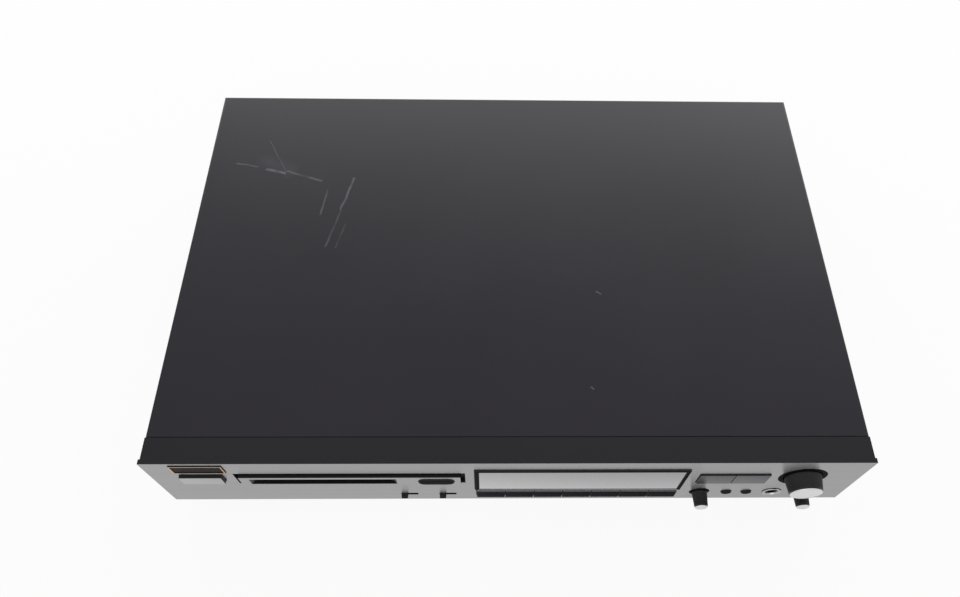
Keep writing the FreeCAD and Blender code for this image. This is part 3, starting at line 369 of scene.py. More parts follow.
def make_scratch():
    """Distance from the point to the segment from Start to End, turned into a thin soft mask."""
    group, given, result = new_group(
        "scratch_line",
        [
            ("Start", VECTOR, (0, 0, 0)),
            ("End", VECTOR, (1, 0, 0)),
            ("Width", FLOAT, 0.3 * MM),
            ("Strength", FLOAT, 1.0),
        ],
        [("Mask", FLOAT)],
    )
    start, end = given.outputs["Start"], given.outputs["End"]
    place = object_place(group)
    shake = noise_node(group, place, 90, 3, "Color")
    moved = vector_node(group, "MULTIPLY_ADD", shake, (WANDER, WANDER, 0), place)
    shaken = vector_node(group, "SUBTRACT", moved, (WANDER / 2, WANDER / 2, 0))

    line = vector_node(group, "SUBTRACT", end, start)
    away = vector_node(group, "SUBTRACT", shaken, start)
    reached = vector_node(group, "DOT_PRODUCT", away, line, out="Value")
    whole = vector_node(group, "DOT_PRODUCT", line, line, out="Value")
    along = held_node(group, math_node(group, "DIVIDE", reached, whole))
    nearest = vector_node(group, "MULTIPLY", line, along)
    gap = vector_node(group, "DISTANCE", away, nearest, out="Value")

    widths_away = math_node(group, "DIVIDE", gap, given.outputs["Width"])
    soft = held_node(group, math_node(group, "SUBTRACT", 1.0, widths_away))
    kept = range_node(group, noise_node(group, place, 120, 2), SKIPS, (0.0, 1.0))
    patchy = math_node(group, "MULTIPLY", soft, kept)
    mask = math_node(group, "MULTIPLY", patchy, given.outputs["Strength"])
    feed(group, mask, result.inputs["Mask"])
    return group


SCRATCH = make_scratch()
print("shared effect:", SCRATCH.name)

# %% [markdown]
# One function makes a finish: a Principled surface whose colour and roughness vary a
# little with the noise and whose bump comes from the grain or the brushed lines.
# The amounts are what tell moulded plastic from paint and paint from plated steel.
# Brushed metal also spreads its highlights across the lines, so its tangent is worked
# out as the normal crossed with X. The X is a little off, so that no face lies square to it.

# %% One finish
MATERIALS = {}
NOISE_MIDDLE = (0.3, 0.7)
NEARLY_X = (1, 0.01, 0.02)


def blend_colour(tree, mask, dark, light):
    """A colour that runs from dark to light as the mask runs from 0 to 1."""
    mixed = tree.nodes.new("ShaderNodeMix")
    mixed.data_type = "RGBA"
    feed(tree, mask, mixed.inputs["Factor"])
    for index, colour in ((6, dark), (7, light)):
        feed(tree, (*colour, 1) if isinstance(colour, tuple) else colour, mixed.inputs[index])
    return mixed.outputs[2]


def spread_highlights(tree, surface):
    """The highlights spread at right angles to the brushed lines, also on a turned piece."""
    surface.inputs["Anisotropic"].default_value = 0.9
    facing = tree.nodes.new("ShaderNodeNewGeometry").outputs["Normal"]
    lines = tree.nodes.new("ShaderNodeVectorTransform")
    lines.convert_from = "OBJECT"
    lines.convert_to = "WORLD"
    lines.inputs[0].default_value = NEARLY_X
    across = vector_node(tree, "CROSS_PRODUCT", facing, lines.outputs[0])
    feed(tree, across, surface.inputs["Tangent"])


def finish(name, colour, rough, vary=0.12, metal=0.0, brushed=False, bump=0.15, grain=1500, shine=0.5):
    """A surface finish; colour is plain RGB, rough the middle roughness, vary its unevenness."""
    material = bpy.data.materials.new(name)
    material.use_nodes = True
    tree = material.node_tree
    surface = tree.nodes["Principled BSDF"]
    set_inputs(surface, {"Metallic": metal, "Specular IOR Level": shine})
    skin = place_group(tree, GRAIN, {"Scale": grain})
    pattern = place_group(tree, BRUSHED, {}) if brushed else skin

    dark = tuple(part * (1 - vary) for part in colour)
    light = tuple(min(1.0, part * (1 + vary)) for part in colour)
    mask = range_node(tree, pattern.outputs["Tone"], NOISE_MIDDLE, (0.0, 1.0))
    feed(tree, blend_colour(tree, mask, dark, light), surface.inputs["Base Color"])
    limits = (rough * (1 - vary), rough * (1 + vary))
    uneven = range_node(tree, skin.outputs["Tone"], NOISE_MIDDLE, limits)
    feed(tree, uneven, surface.inputs["Roughness"])

    relief = tree.nodes.new("ShaderNodeBump")
    set_inputs(relief, {"Strength": bump, "Distance": 0.1 * MM})
    feed(tree, pattern.outputs["Height"], relief.inputs["Height"])
    feed(tree, relief.outputs["Normal"], surface.inputs["Normal"])
    if brushed:
        spread_highlights(tree, surface)
    MATERIALS[name] = material
    return material


print("noise between", NOISE_MIDDLE, "runs from the dark to the light colour")

# %% [markdown]
# The silver front, the plated tray and the collars are bare metal, so their colour is
# what they mirror. A metallic surface with a low roughness gives the bright caps, and a
# rougher one the dull zinc of the tray.

# %% Metals
finish("silver_panel", (0.345, 0.34, 0.345), 0.33, vary=0.05, metal=1.0, brushed=True, bump=0.3)
finish("fin_aluminium", (0.55, 0.55, 0.56), 0.35, vary=0.1, metal=1.0, brushed=True)
finish("cap_silver", (0.62, 0.62, 0.63), 0.28, vary=0.05, metal=1.0)
finish("collar_metal", (0.36, 0.35, 0.35), 0.24, vary=0.08, metal=1.0, bump=0.05)
finish("jack_metal", (0.62, 0.60, 0.56), 0.22, vary=0.1, metal=1.0, bump=0.05)
finish("gold_line", (0.55, 0.32, 0.14), 0.3, vary=0.08, metal=1.0, bump=0.05)
finish("zinc_steel", (0.50, 0.51, 0.52), 0.38, metal=1.0, bump=0.1)
finish("screw_steel", (0.06, 0.06, 0.063), 0.35, vary=0.15, metal=0.9, bump=0.1)
finish("core_iron", (0.10, 0.09, 0.09), 0.5, vary=0.2, metal=0.6)
finish("coil_copper", (0.45, 0.22, 0.07), 0.4, vary=0.2, metal=0.4)
print(len(MATERIALS), "finishes of metal")

# %% [markdown]
# The cover and the rear panel are painted steel. The cover's satin paint is nearly black
# and a little violet, and its sheen comes from the softbox behind the deck. Coarser grain
# tells the rear panel's cheaper paint from it.

# %% Paints
finish("cover_steel", (0.0135, 0.012, 0.0175), 0.38, vary=0.07, bump=0.2, grain=1700, shine=0.22)
finish("panel_steel", (0.022, 0.022, 0.024), 0.55, vary=0.1, bump=0.3, grain=1300)
finish("bare_plate", (0.012, 0.010, 0.011), 0.4, vary=0.1, bump=0.06, shine=0.03)
print("paints made")

# %% [markdown]
# The keys, the knobs and the frame behind the plate are moulded plastic. The blacks
# differ in how much they shine: a key looks black from every side, while a knob's grip
# has a soft gleam. The silver keys are lacquered, so they are partly metallic.

# %% Plastics
finish("black_plastic", (0.011, 0.010, 0.012), 0.42, vary=0.1, bump=0.12, grain=2400, shine=0.3)
finish("bezel_black", (0.018, 0.017, 0.020), 0.5, vary=0.08, grain=2000, shine=0.12)
finish("key_black_and_shade", (0.006, 0.0055, 0.0065), 0.6, vary=0.1, grain=2400, shine=0.02)
finish("silver_plastic", (0.40, 0.40, 0.405), 0.34, vary=0.05, metal=0.9, bump=0.08)
finish("grey_plastic", (0.048, 0.046, 0.053), 0.34, vary=0.05, metal=0.4, bump=0.08, shine=0.4)
# Painted light: a pale grey that stands in for light on the tops of the function keys and on the
# display's lower rail.
finish("painted_light_grey", (0.25, 0.225, 0.265), 0.45, vary=0.06, bump=0.08, shine=0.2)
finish("gear_white", (0.72, 0.71, 0.67), 0.4, vary=0.05)
finish("socket_white", (0.75, 0.74, 0.70), 0.4, vary=0.05)
finish("socket_red", (0.45, 0.02, 0.02), 0.4, vary=0.08)
finish("rubber", (0.02, 0.02, 0.02), 0.75, vary=0.1, bump=0.3)
finish("board", (0.20, 0.13, 0.05), 0.5)
finish("board_green", (0.03, 0.12, 0.06), 0.4)
finish("can_sleeve", (0.02, 0.025, 0.05), 0.3)
print("plastics made")

# %% [markdown]
# The display's pane is smoked plastic. It looks pale in the photograph, because at that
# angle its polished skin mirrors the white surround. A clear coat over a dark body with
# a high index of refraction mirrors as strongly.

# %% Display pane and tube


def finish_window():
    """A dark body under a polished coat that mirrors the white sweep."""
    material = finish("window", (0.034, 0.034, 0.033), 0.16, vary=0.05, bump=0.03)
    surface = material.node_tree.nodes["Principled BSDF"]
    set_inputs(surface, {"IOR": 2.05, "Coat Weight": 1.0, "Coat Roughness": 0.08})


finish_window()
finish("tube_glass", (0.05, 0.06, 0.06), 0.15, vary=0.1)
print(len(MATERIALS), "finishes")

# %% [markdown]
# The cover carries a few scratches near its rear left corner and two small nicks. They
# could be cut into the mesh, but each is only a rub mark in the paint, so a mask
# lightens the paint there. Places are in mm across the deck and behind the front plate.

# %% Scratches on the cover
SCRATCHES = [
    ((-197, 226), (-181, 223), 0.9, 0.6),
    ((-175.6, 247.8), (-159.6, 217.4), 0.6, 0.5),
    ((-174, 220.5), (-161, 217), 1.7, 0.9),
    ((-159, 219), (-134, 210.5), 1.3, 0.6),
    ((-128.6, 202), (-131.2, 180.5), 0.9, 0.7),
    ((-110.5, 212.9), (-117.5, 185), 1.2, 0.9),
    ((-117, 185), (-124.7, 153.3), 0.9, 0.5),
    ((-113, 172), (-118, 152.6), 0.8, 0.3),
    ((58, 118), (60.5, 116.5), 0.8, 1.0),
    ((50.5, 49), (51.8, 47.6), 0.7, 1.0),
    ((-175, 228), (-158, 220), 9.0, 0.10),
]
RUBBED_PAINT = (0.15, 0.145, 0.18)


def scratch_cover():
    """Each row of the list is a start, an end, a width in mm and a strength."""
    tree = MATERIALS["cover_steel"].node_tree
    colour = tree.nodes["Principled BSDF"].inputs["Base Color"]
    paint_colour = colour.links[0].from_socket
    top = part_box("top_cover")[1][2]
    total = 0.0
    for start, end, width, strength in SCRATCHES:
        places = [(across * MM, FRONT + behind * MM, top) for across, behind in (start, end)]
        values = {"Start": places[0], "End": places[1], "Width": width * MM, "Strength": strength}
        mark = place_group(tree, SCRATCH, values)
        total = math_node(tree, "MAXIMUM", total, mark.outputs["Mask"])
    feed(tree, blend_colour(tree, total, paint_colour, RUBBED_PAINT), colour)


scratch_cover()
print(len(SCRATCHES), "marks on the cover")

# %% [markdown]
# Every carried-over solid takes the finish of its own material slot. Two pieces look
# duller in the photograph than their slot, so they are named apart.

# %% Dress the frame
OTHER_FINISH = {"front_bezel": "bezel_black", "jog_ring": "key_black_and_shade"}
for node, solid in frame["nodes"].items():
    solid.data.materials.clear()
    solid.data.materials.append(MATERIALS[OTHER_FINISH.get(node, SLOT_OF[node])])
print("dressed", len(frame["nodes"]), "nodes")

# %% [markdown]
# A mesh can be read point by point, which is slow, or all at once as arrays. These
# helpers read whole arrays, and the new pieces take their places and sizes from them.

# %% Measure the solids


def span(node, axis):
    """Lowest and highest place of a node along one axis."""
    low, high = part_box(node)
    return low[axis], high[axis]


def vertex_places(mesh):
    """All points of a mesh, as an array of three columns."""
    places = np.empty(len(mesh.vertices) * 3)
    mesh.vertices.foreach_get("co", places)
    return places.reshape(-1, 3)


def edge_ends(mesh):
    """The two point numbers of every edge, as an array of two columns."""
    ends = np.empty(len(mesh.edges) * 2, dtype=np.int32)
    mesh.edges.foreach_get("vertices", ends)
    return ends.reshape(-1, 2)


def face_arrays(mesh):
    """Normals and middles of all faces, as two arrays of three columns."""
    normals = np.empty(len(mesh.polygons) * 3)
    middles = np.empty(len(mesh.polygons) * 3)
    mesh.polygons.foreach_get("normal", normals)
    mesh.polygons.foreach_get("center", middles)
    return normals.reshape(-1, 3), middles.reshape(-1, 3)


def back_end(node):
    """Lowest and highest corner of the node's rearmost points: the section of its stem."""
    places = vertex_places(frame["nodes"][node].data)
    rear = places[places[:, 1] > places[:, 1].max() - 0.05 * MM]
    return rear.min(axis=0), rear.max(axis=0)


def stem_radius(node):
    """Half the width of the node's rear end."""
    low, high = back_end(node)
    return (high[0] - low[0]) / 2


def round_place(node):
    """Y limits, middle of the axis and radius of a round piece that faces forward."""
    x, y, z = (span(node, axis) for axis in range(3))
    middle = ((x[0] + x[1]) / 2, 0, (z[0] + z[1]) / 2)
    return y, middle, (x[1] - x[0]) / 2


print("jog dial radius", round(round_place("jog_dial")[2] / MM, 2), "mm")

# %% [markdown]
# Most trim is a grid: rows of points, each row a closed ring, joined by four-sided faces.
# Either the two end rings are closed with flat faces, or the last row joins the first,
# as in a tube. Normals are then turned outward, and only real corners stay sharp.

# %% From a grid to a mesh
SHARP_ANGLE = math.radians(32)


def grid_quads(rings, count, close_rows, first):
    """Faces between neighbouring rings of points, with flat ends unless the rows close."""
    ring_index = np.arange(rings if close_rows else rings - 1)
    row, column = np.meshgrid(ring_index, np.arange(count), indexing="ij")
    next_row, next_column = (row + 1) % rings, (column + 1) % count
    corners = [row * count + column, row * count + next_column]
    corners += [next_row * count + next_column, next_row * count + column]
    quads = (np.stack(corners, axis=-1).reshape(-1, 4) + first).tolist()
    if not close_rows:
        last = first + (rings - 1) * count
        quads.append(list(range(first, first + count))[::-1])
        quads.append(list(range(last, last + count)))
    return quads


def smooth_sides(mesh):
    """Smooth shading everywhere but over corners sharper than the limit."""
    mesh.shade_smooth()
    mesh.set_sharp_from_angle(angle=SHARP_ANGLE)


def mesh_of(name, grids):
    """One mesh of several grids; each grid is points, whether its rows close, and a finish number."""
    points, faces, finishes = [], [], []
    for grid, close_rows, number in grids:
        made = grid_quads(*grid.shape[:2], close_rows, len(points))
        points += grid.reshape(-1, 3).tolist()
        faces += made
        finishes += [number] * len(made)
    mesh = bpy.data.meshes.new(name)
    mesh.from_pydata(points, [], faces)
    mesh.polygons.foreach_set("material_index", finishes)
    shaped = bmesh.new()
    shaped.from_mesh(mesh)
    bmesh.ops.recalc_face_normals(shaped, faces=shaped.faces)
    shaped.to_mesh(mesh)
    shaped.free()
    smooth_sides(mesh)
    return mesh


print("a tube of 4 rings of 6 points has", len(grid_quads(4, 6, True, 0)), "faces")

# %% [markdown]
# Knob caps, collars and sockets are turned on a lathe, and a lathe needs only a profile.
# A profile is a list of radius and place along the axis, and each pair becomes a ring.

# %% Turned shapes


def turned_grid(middle, profile, steps=96):
    """Each pair of radius and Y becomes a ring round the Y axis through the middle."""
    radius, along = np.array(profile, dtype=float).T
    angle = np.linspace(0, 2 * math.pi, steps, endpoint=False)
    across = radius[:, None] * np.cos(angle)
    upward = radius[:, None] * np.sin(angle)
    steady = np.broadcast_to(along[:, None], across.shape)
    return np.stack([across, steady, upward], axis=-1) + np.array(middle)


def turned(name, middle, profile, closed=False):
    """The turned grid as a mesh; closed joins the profile's end to its start."""
    return mesh_of(name, [(turned_grid(middle, profile), closed, 0)])


print("a turned ring has", turned_grid((0, 0, 0), [(1, 0)]).shape[1], "points")

# %% [markdown]
# Keys and the display's border are mouldings: a rectangle with rounded corners that
# shrinks and moves forward as its profile says. A profile is a list of inset and depth,
# and a quarter circle of such pairs makes the soft front edge that catches light.

# %% Moulded shapes


def rectangle_ring(x, z, inset, corner, steps=8):
    """Points of a rounded rectangle drawn in by the inset, corner by corner."""
    left, right = x[0] + inset, x[1] - inset
    low, high = z[0] + inset, z[1] - inset
    bend = max(corner - inset, 0.02 * MM)
    quarter = np.linspace(0, math.pi / 2, steps)
    centre_x = np.array([right - bend, left + bend, left + bend, right - bend])
    centre_z = np.array([high - bend, high - bend, low + bend, low + bend])
    turns = np.arange(4)[:, None] * math.pi / 2 + quarter[None, :]
    across = centre_x[:, None] + bend * np.cos(turns)
    upward = centre_z[:, None] + bend * np.sin(turns)
    return across.reshape(-1), upward.reshape(-1)


def moulded_grid(x, z, profile, corner):
    """Each pair of inset and Y becomes one rounded rectangle."""
    rings = []
    for inset, depth in profile:
        across, upward = rectangle_ring(x, z, inset, corner)
        rings.append(np.stack([across, np.full_like(across, depth), upward], axis=-1))
    return np.array(rings)


def moulded(name, x, z, profile, corner, closed=False):
    """The moulded grid as a mesh; closed joins the profile's end to its start."""
    return mesh_of(name, [(moulded_grid(x, z, profile, corner), closed, 0)])


def quarter_edge(outer, front, edge, steps=6):
    """Pairs that leave the outer value and reach the front along a quarter circle."""
    angle = np.linspace(0, math.pi / 2, steps)
    return list(zip(outer + edge * (1 - np.cos(angle)), front + edge * (1 - np.sin(angle))))


def rounded_front(front, back, edge):
    """Inset and Y pairs from the back to the front with a quarter-round front edge."""
    return [(0.0, back)] + quarter_edge(0.0, front, edge)


print("a moulded ring has", len(rectangle_ring((0, 1), (0, 1), 0, 0.1)[0]), "points")

# %% [markdown]
# A dressed piece rides on the same body as its solid and hides that solid. Some pieces
# have two finishes, such as a black moulding with a lacquered face, and the faces are
# chosen by where they lie and which way they look.

# %% Place and paint a piece


def place_piece(name, mesh, node, *materials):
    """Put the mesh on the body of its node and let it stand for that node."""
    piece = add_object(name, mesh)
    if not mesh.materials:
        for material in materials:
            mesh.materials.append(MATERIALS[material])
    mesh.materials[0] = MATERIALS[materials[0]]
    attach(piece, BODY_OF[node])
    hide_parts(node)
    return piece


def paint(piece, chosen, material):
    """Give the chosen faces another finish; chosen holds one yes or no for each face."""
    mesh = piece.data
    names = [used.name for used in mesh.materials]
    if material not in names:
        mesh.materials.append(MATERIALS[material])
        names.append(material)
    present = np.empty(len(mesh.polygons), dtype=np.int32)
    mesh.polygons.foreach_get("material_index", present)
    present[chosen] = names.index(material)
    mesh.polygons.foreach_set("material_index", present)


def paint_front(piece, material, reach):
    """The faces that look forward, at most the reach behind the foremost, take the finish."""
    normals, middles = face_arrays(piece.data)
    depth = middles[:, 1]
    paint(piece, (normals[:, 1] < -0.8) & (depth < depth.min() + reach), material)


print("pieces can be placed and painted")

# %% [markdown]
# The flat keys are mouldings on a narrower stem. Each keeps its node's outline and gets
# a rounded front edge, which draws the thin line of light that keys show. The upper faces
# of the function keys are painted pale grey: a painted highlight for the light that falls
# on them through the gap.

# %% Flat keys


def key_piece(node, corner, edge, cap_deep, front_material="key_black_and_shade"):
    """Cap and stem as one mesh; corner, edge and depth of the cap are in mm."""
    x, y, z = (span(node, axis) for axis in range(3))
    cap_back = y[0] + cap_deep * MM
    low, high = back_end(node)
    stem = moulded_grid((low[0], high[0]), (low[2], high[2]), [(0, cap_back), (0, y[1])], 0.3 * MM)
    cap = moulded_grid(x, z, rounded_front(y[0], cap_back, edge * MM), corner * MM)
    mesh = mesh_of(node + "_face", [(cap, False, 0), (stem, False, 0)])
    piece = place_piece(node + "_moulding", mesh, node, "black_plastic")
    paint_front(piece, front_material, 0.5 * MM)
    return piece


for number in range(1, 8):
    key = key_piece(f"function_button_{number}", 0.2, 0.35, 3.5)
    # Painted highlight: the upper faces take a pale grey for the light that falls on them through the
    # gap.
    paint(key, face_arrays(key.data)[0][:, 2] > 0.8, "painted_light_grey")
key_piece("play_button", 0.4, 0.35, 3.2, "grey_plastic")
key_piece("stop_button", 0.4, 0.35, 3.2, "grey_plastic")
key_piece("power_button", 0.6, 0.4, 6.8, "silver_plastic")
key_piece("eject_button", 4.1, 0.5, 4.2)
key_piece("timer_switch_knob", 0.4, 0.35, 14.0)
key_piece("input_switch_knob", 0.4, 0.35, 14.0)
print("flat keys moulded")

# %% [markdown]
# The two small round keys are turned shapes. Their caps are short, so that they can be
# pressed without touching the black frame behind the front plate.

# %% Round keys


def round_key(node):
    """A thin stem, a cap with a quarter-round edge and a slightly hollow face."""
    y, middle, radius = round_place(node)
    cap_back = y[0] + 3.0 * MM
    angle = np.linspace(0, math.pi / 2, 6)
    edge = 0.5 * MM
    profile = [(stem_radius(node), y[1]), (stem_radius(node), cap_back), (radius, cap_back)]
    profile += list(zip(radius - edge * (1 - np.cos(angle)), y[0] + edge * (1 - np.sin(angle))))
    profile += [(radius * 0.5, y[0] + 0.12 * MM), (0.05 * MM, y[0] + 0.2 * MM)]
    piece = place_piece(node + "_face", turned(node, middle, profile), node, "black_plastic")
    paint_front(piece, "key_black_and_shade", 0.4 * MM)


round_key("record_button")
round_key("monitor_button")
print("round keys turned")

# %% [markdown]
# The knobs have a skirt and a tapered grip with fine flutes, so that fingers hold them.
# The flutes could be cut one by one. Here the radius itself ripples with the angle, and
# each ring of the profile says how much of the ripple it takes.

# %% Fluted knobs


def fluted(name, middle, rings, flutes, depth, steps_per_flute=6):
    """Rings of radius, Y and ripple share; the radius dips once for every flute."""
    angle = np.linspace(0, 2 * math.pi, flutes * steps_per_flute, endpoint=False)
    radius, along, share = np.array(rings, dtype=float).T
    wave = 0.5 - 0.5 * np.cos(flutes * angle)
    across = radius[:, None] - depth * share[:, None] * wave[None, :]
    x = middle[0] + across * np.cos(angle)
    z = middle[2] + across * np.sin(angle)
    y = np.broadcast_to(along[:, None], x.shape)
    return mesh_of(name, [(np.stack([x, y, z], axis=-1), False, 0)])


def level_knob(node):
    """Shaft, skirt, fluted grip and a rounded rim in front."""
    y, middle = round_place(node)[:2]
    front, skirt, back = y[0], FRONT - 0.4 * MM, FRONT + 2.7 * MM
    rings = [
        (stem_radius(node), y[1], 0),
        (stem_radius(node), back, 0),
        (6.3 * MM, back, 0),
        (6.3 * MM, skirt + 0.2 * MM, 0),
        (6.1 * MM, skirt, 0),
        (5.2 * MM, skirt - 0.1 * MM, 0),
        (4.9 * MM, skirt - 0.6 * MM, 0),
        (4.85 * MM, skirt - 1.0 * MM, 1),
        (4.35 * MM, front + 1.0 * MM, 1),
        (4.28 * MM, front + 0.5 * MM, 0),
        (4.05 * MM, front + 0.1 * MM, 0),
        (3.9 * MM, front, 0),
    ]
    mesh = fluted(node, middle, rings, 36, 0.16 * MM)
    piece = place_piece(node + "_grip", mesh, node, "black_plastic")
    normals, middles = face_arrays(mesh)
    paint(piece, (normals[:, 1] < -0.5) & (middles[:, 1] > skirt - 0.5 * MM), "key_black_and_shade")


def jog_dial():
    """The same shape as a level knob, larger, with the skirt close to the front plate."""
    node = "jog_dial"
    y, middle = round_place(node)[:2]
    front = y[0]
    rings = [
        (stem_radius(node), y[1], 0),
        (stem_radius(node), FRONT - 0.1 * MM, 0),
        (11.0 * MM, FRONT - 0.1 * MM, 0),
        (11.25 * MM, FRONT - 0.4 * MM, 0),
        (11.2 * MM, FRONT - 1.2 * MM, 0),
        (11.15 * MM, FRONT - 1.6 * MM, 1),
        (10.2 * MM, front + 1.2 * MM, 1),
        (10.1 * MM, front + 0.7 * MM, 0),
        (9.85 * MM, front + 0.15 * MM, 0),
        (9.6 * MM, front, 0),
    ]
    place_piece("jog_grip", fluted(node, middle, rings, 60, 0.2 * MM), node, "black_plastic")


level_knob("level_knob")
level_knob("phones_knob")
jog_dial()
print("three fluted grips")

# %% [markdown]
# Each knob ends in a bright disc. It is turned slightly hollow, which pulls the mirrored
# surround to a soft gradient where a flat disc would show one even tone.

# %% End caps


def end_cap(node, dish):
    """A bright disc with a small rounded rim; dish is the depth of its hollow in mm."""
    y, middle, radius = round_place(node)
    profile = [
        (radius, y[1]),
        (radius, y[0] + 0.25 * MM),
        (radius - 0.1 * MM, y[0] + 0.08 * MM),
        (radius - 0.3 * MM, y[0]),
        (radius * 0.6, y[0] + dish * 0.6 * MM),
        (0.05 * MM, y[0] + dish * MM),
    ]
    place_piece(node + "_face", turned(node, middle, profile), node, "cap_silver")


end_cap("level_knob_cap", 0.1)
end_cap("phones_knob_cap", 0.1)
end_cap("jog_dial_cap", 0.15)
print("three end caps")

# %% [markdown]
# The plates, the tray and the cover keep their own holes and folds. They could be rebuilt
# from grids, but their solids already have the right shape. So a copy of each is merged,
# its flat faces are joined and a narrow bevel softens every edge.

# %% Softened copies
FLAT_ANGLE = math.radians(1)
BEVEL_ANGLE = math.radians(40)


def softened(node, width, material, segments=2):
    """A merged copy of the node with a bevel of the given width in mm on its sharp edges."""
    mesh = frame["nodes"][node].data.copy()
    shaped = bmesh.new()
    shaped.from_mesh(mesh)
    bmesh.ops.remove_doubles(shaped, verts=shaped.verts, dist=0.001 * MM)
    bmesh.ops.dissolve_limit(shaped, angle_limit=FLAT_ANGLE, verts=shaped.verts, edges=shaped.edges)
    shaped.to_mesh(mesh)
    shaped.free()
    piece = place_piece(node + "_soft", mesh, node, material)
    smooth_sides(mesh)
    bevel = piece.modifiers.new("edges", "BEVEL")
    bevel.width = width * MM
    bevel.segments = segments
    bevel.limit_method = "ANGLE"
    bevel.angle_limit = BEVEL_ANGLE
    bevel.harden_normals = True
    return piece


fascia = softened("front_fascia", 0.2, "bezel_black")
paint_front(fascia, "silver_panel", 0.3 * MM)
insert = softened("slot_insert", 0.2, "black_plastic")
paint_front(insert, "silver_panel", 0.3 * MM)
softened("front_bezel", 0.3, "bezel_black")
print("front plates softened")

# %% [markdown]
# The cover is one folded sheet, and a fold has a radius of its own. Its long upper edges
# and its rear upper edge are picked by their places and get a wider bevel before the
# narrow one, because a sheet can't be bent to a sharp corner.

# %% Folded cover


def round_folds(piece, radius):
    """Edges at the top whose ends both lie at a side or at the rear get the radius in mm."""
    mesh = piece.data
    low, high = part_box("top_cover")
    ends = vertex_places(mesh)[edge_ends(mesh)]

    def both_at(axis, limit):
        """One yes or no for each edge: both ends lie at the limit on this axis."""
        return (np.abs(ends[:, :, axis] - limit) < 0.05 * MM).all(axis=1)

    folds = both_at(2, high[2]) & (both_at(0, low[0]) | both_at(0, high[0]) | both_at(1, high[1]))
    weights = mesh.attributes.new("bevel_weight_edge", "FLOAT", "EDGE")
    weights.data.foreach_set("value", folds.astype(np.float32))
    fold = piece.modifiers.new("folds", "BEVEL")
    fold.width = radius * MM
    fold.segments = 6
    fold.limit_method = "WEIGHT"
    fold.harden_normals = True
    piece.modifiers.move(piece.modifiers.find("folds"), 0)
    print("folded edges:", int(folds.sum()))


cover = softened("top_cover", 0.25, "cover_steel")
round_folds(cover, 1.6)

# %% [markdown]
# The rest of the casing gets the same bevel. The badge plate is bare: black paint on
# brass, whose rim shows as a gold line round the field.

# %% Casing, badge and feet
softened("rear_panel", 0.2, "panel_steel")
softened("base_chassis", 0.3, "zinc_steel")
softened("optical_ports", 0.2, "black_plastic")
softened("ac_inlet", 0.3, "black_plastic")
badge = softened("badge_plate", 0.12, "bare_plate")
paint_front(badge, "gold_line", 0.02 * MM)
softened("feet", 0.6, "rubber", 3)
softened("jog_ring", 0.3, "key_black_and_shade", 3)
print("casing softened")

# %% [markdown]
# The display is a black border moulding round a smoked pane. The border's profile runs
# from its outer back edge over the rounded front to the inner edge of the opening, and
# its two ends join. The forward faces of its lower rail are painted pale grey as painted
# light, for the pale line of light seen there.

# %% Display
BORDER = 2.6 * MM
PAINTED_LIGHT_HALF = 60 * MM


def display_border():
    """The moulded border, with the forward faces of its lower rail painted pale grey as painted light."""
    x, y, z = (span("display_frame", axis) for axis in range(3))
    profile = [
        (0, y[1]),
        (0, y[0] + 0.5 * MM),
        (0.15 * MM, y[0] + 0.15 * MM),
        (0.5 * MM, y[0]),
        (BORDER - 0.5 * MM, y[0]),
        (BORDER - 0.15 * MM, y[0] + 0.1 * MM),
        (BORDER, y[0] + 0.4 * MM),
        (BORDER, y[1]),
    ]
    mesh = moulded("display_border", x, z, profile, 0.8 * MM, closed=True)
    piece = place_piece("display_border", mesh, "display_frame", "black_plastic")
    paint_front(piece, "key_black_and_shade", 0.5 * MM)
    normals, middles = face_arrays(mesh)
    across = np.abs(middles[:, 0] - (x[0] + x[1]) / 2)
    # Painted light: the lower rail's forward faces take a pale grey for the pale line of light seen
    # there.
    painted_light_rail = (middles[:, 2] < z[0] + BORDER) & (across < PAINTED_LIGHT_HALF)
    paint(piece, painted_light_rail & (normals[:, 1] < -0.5), "painted_light_grey")


def display_glass():
    """The pane keeps its node's size and gets a small rounded front edge."""
    x, y, z = (span("display_pane", axis) for axis in range(3))
    mesh = moulded("display_glass", x, z, rounded_front(y[0], y[1], 0.15 * MM), 0.3 * MM)
    place_piece("display_glass", mesh, "display_pane", "window")


display_border()
display_glass()
print("display moulded")

# %% [markdown]
# The phones socket is a plated collar: a rounded rim, a step and the bore of the plug.
# Its inside is painted black as painted shade, because almost no light reaches it.

# %% Phones socket


def phones_collar():
    """The profile runs forward outside, over the rim and back through the bore."""
    node = "phones_jack"
    y, middle, outer = round_place(node)
    flange_back = FRONT + 3 * MM
    bore, nut = 3.2 * MM, 4.8 * MM
    profile = [
        (outer, flange_back),
        (outer, y[0] + 0.4 * MM),
        (outer - 0.15 * MM, y[0] + 0.1 * MM),
        (outer - 0.5 * MM, y[0]),
        (outer - 1.4 * MM, y[0] + 0.1 * MM),
        (outer - 1.9 * MM, y[0] + 0.9 * MM),
        (bore, y[0] + 1.3 * MM),
        (bore, y[1] - 1.3 * MM),
        (4.2 * MM, y[1] - 0.2 * MM),
        (nut, y[1] - 0.2 * MM),
        (nut, flange_back),
    ]
    mesh = turned(node, middle, profile, closed=True)
    piece = place_piece("phones_collar", mesh, node, "collar_metal")
    # Painted shade: everything behind the rim takes the black finish, for the shade inside the bore.
    paint(piece, face_arrays(mesh)[1][:, 1] > y[0] + 1.0 * MM, "key_black_and_shade")


phones_collar()
print("collar turned")

# %% [markdown]
# Each phono socket is a plated sleeve round a coloured insulator with a hole for the pin.
# White marks the left channel and red the right one, as on every such deck. The block
# behind the panel, the sleeve and the insulator are three grids in one mesh.

# %% Rear sockets
SOCKET_PITCH = 18 * MM
SLEEVE = 4.15 * MM
SOCKET_STEPS = 64


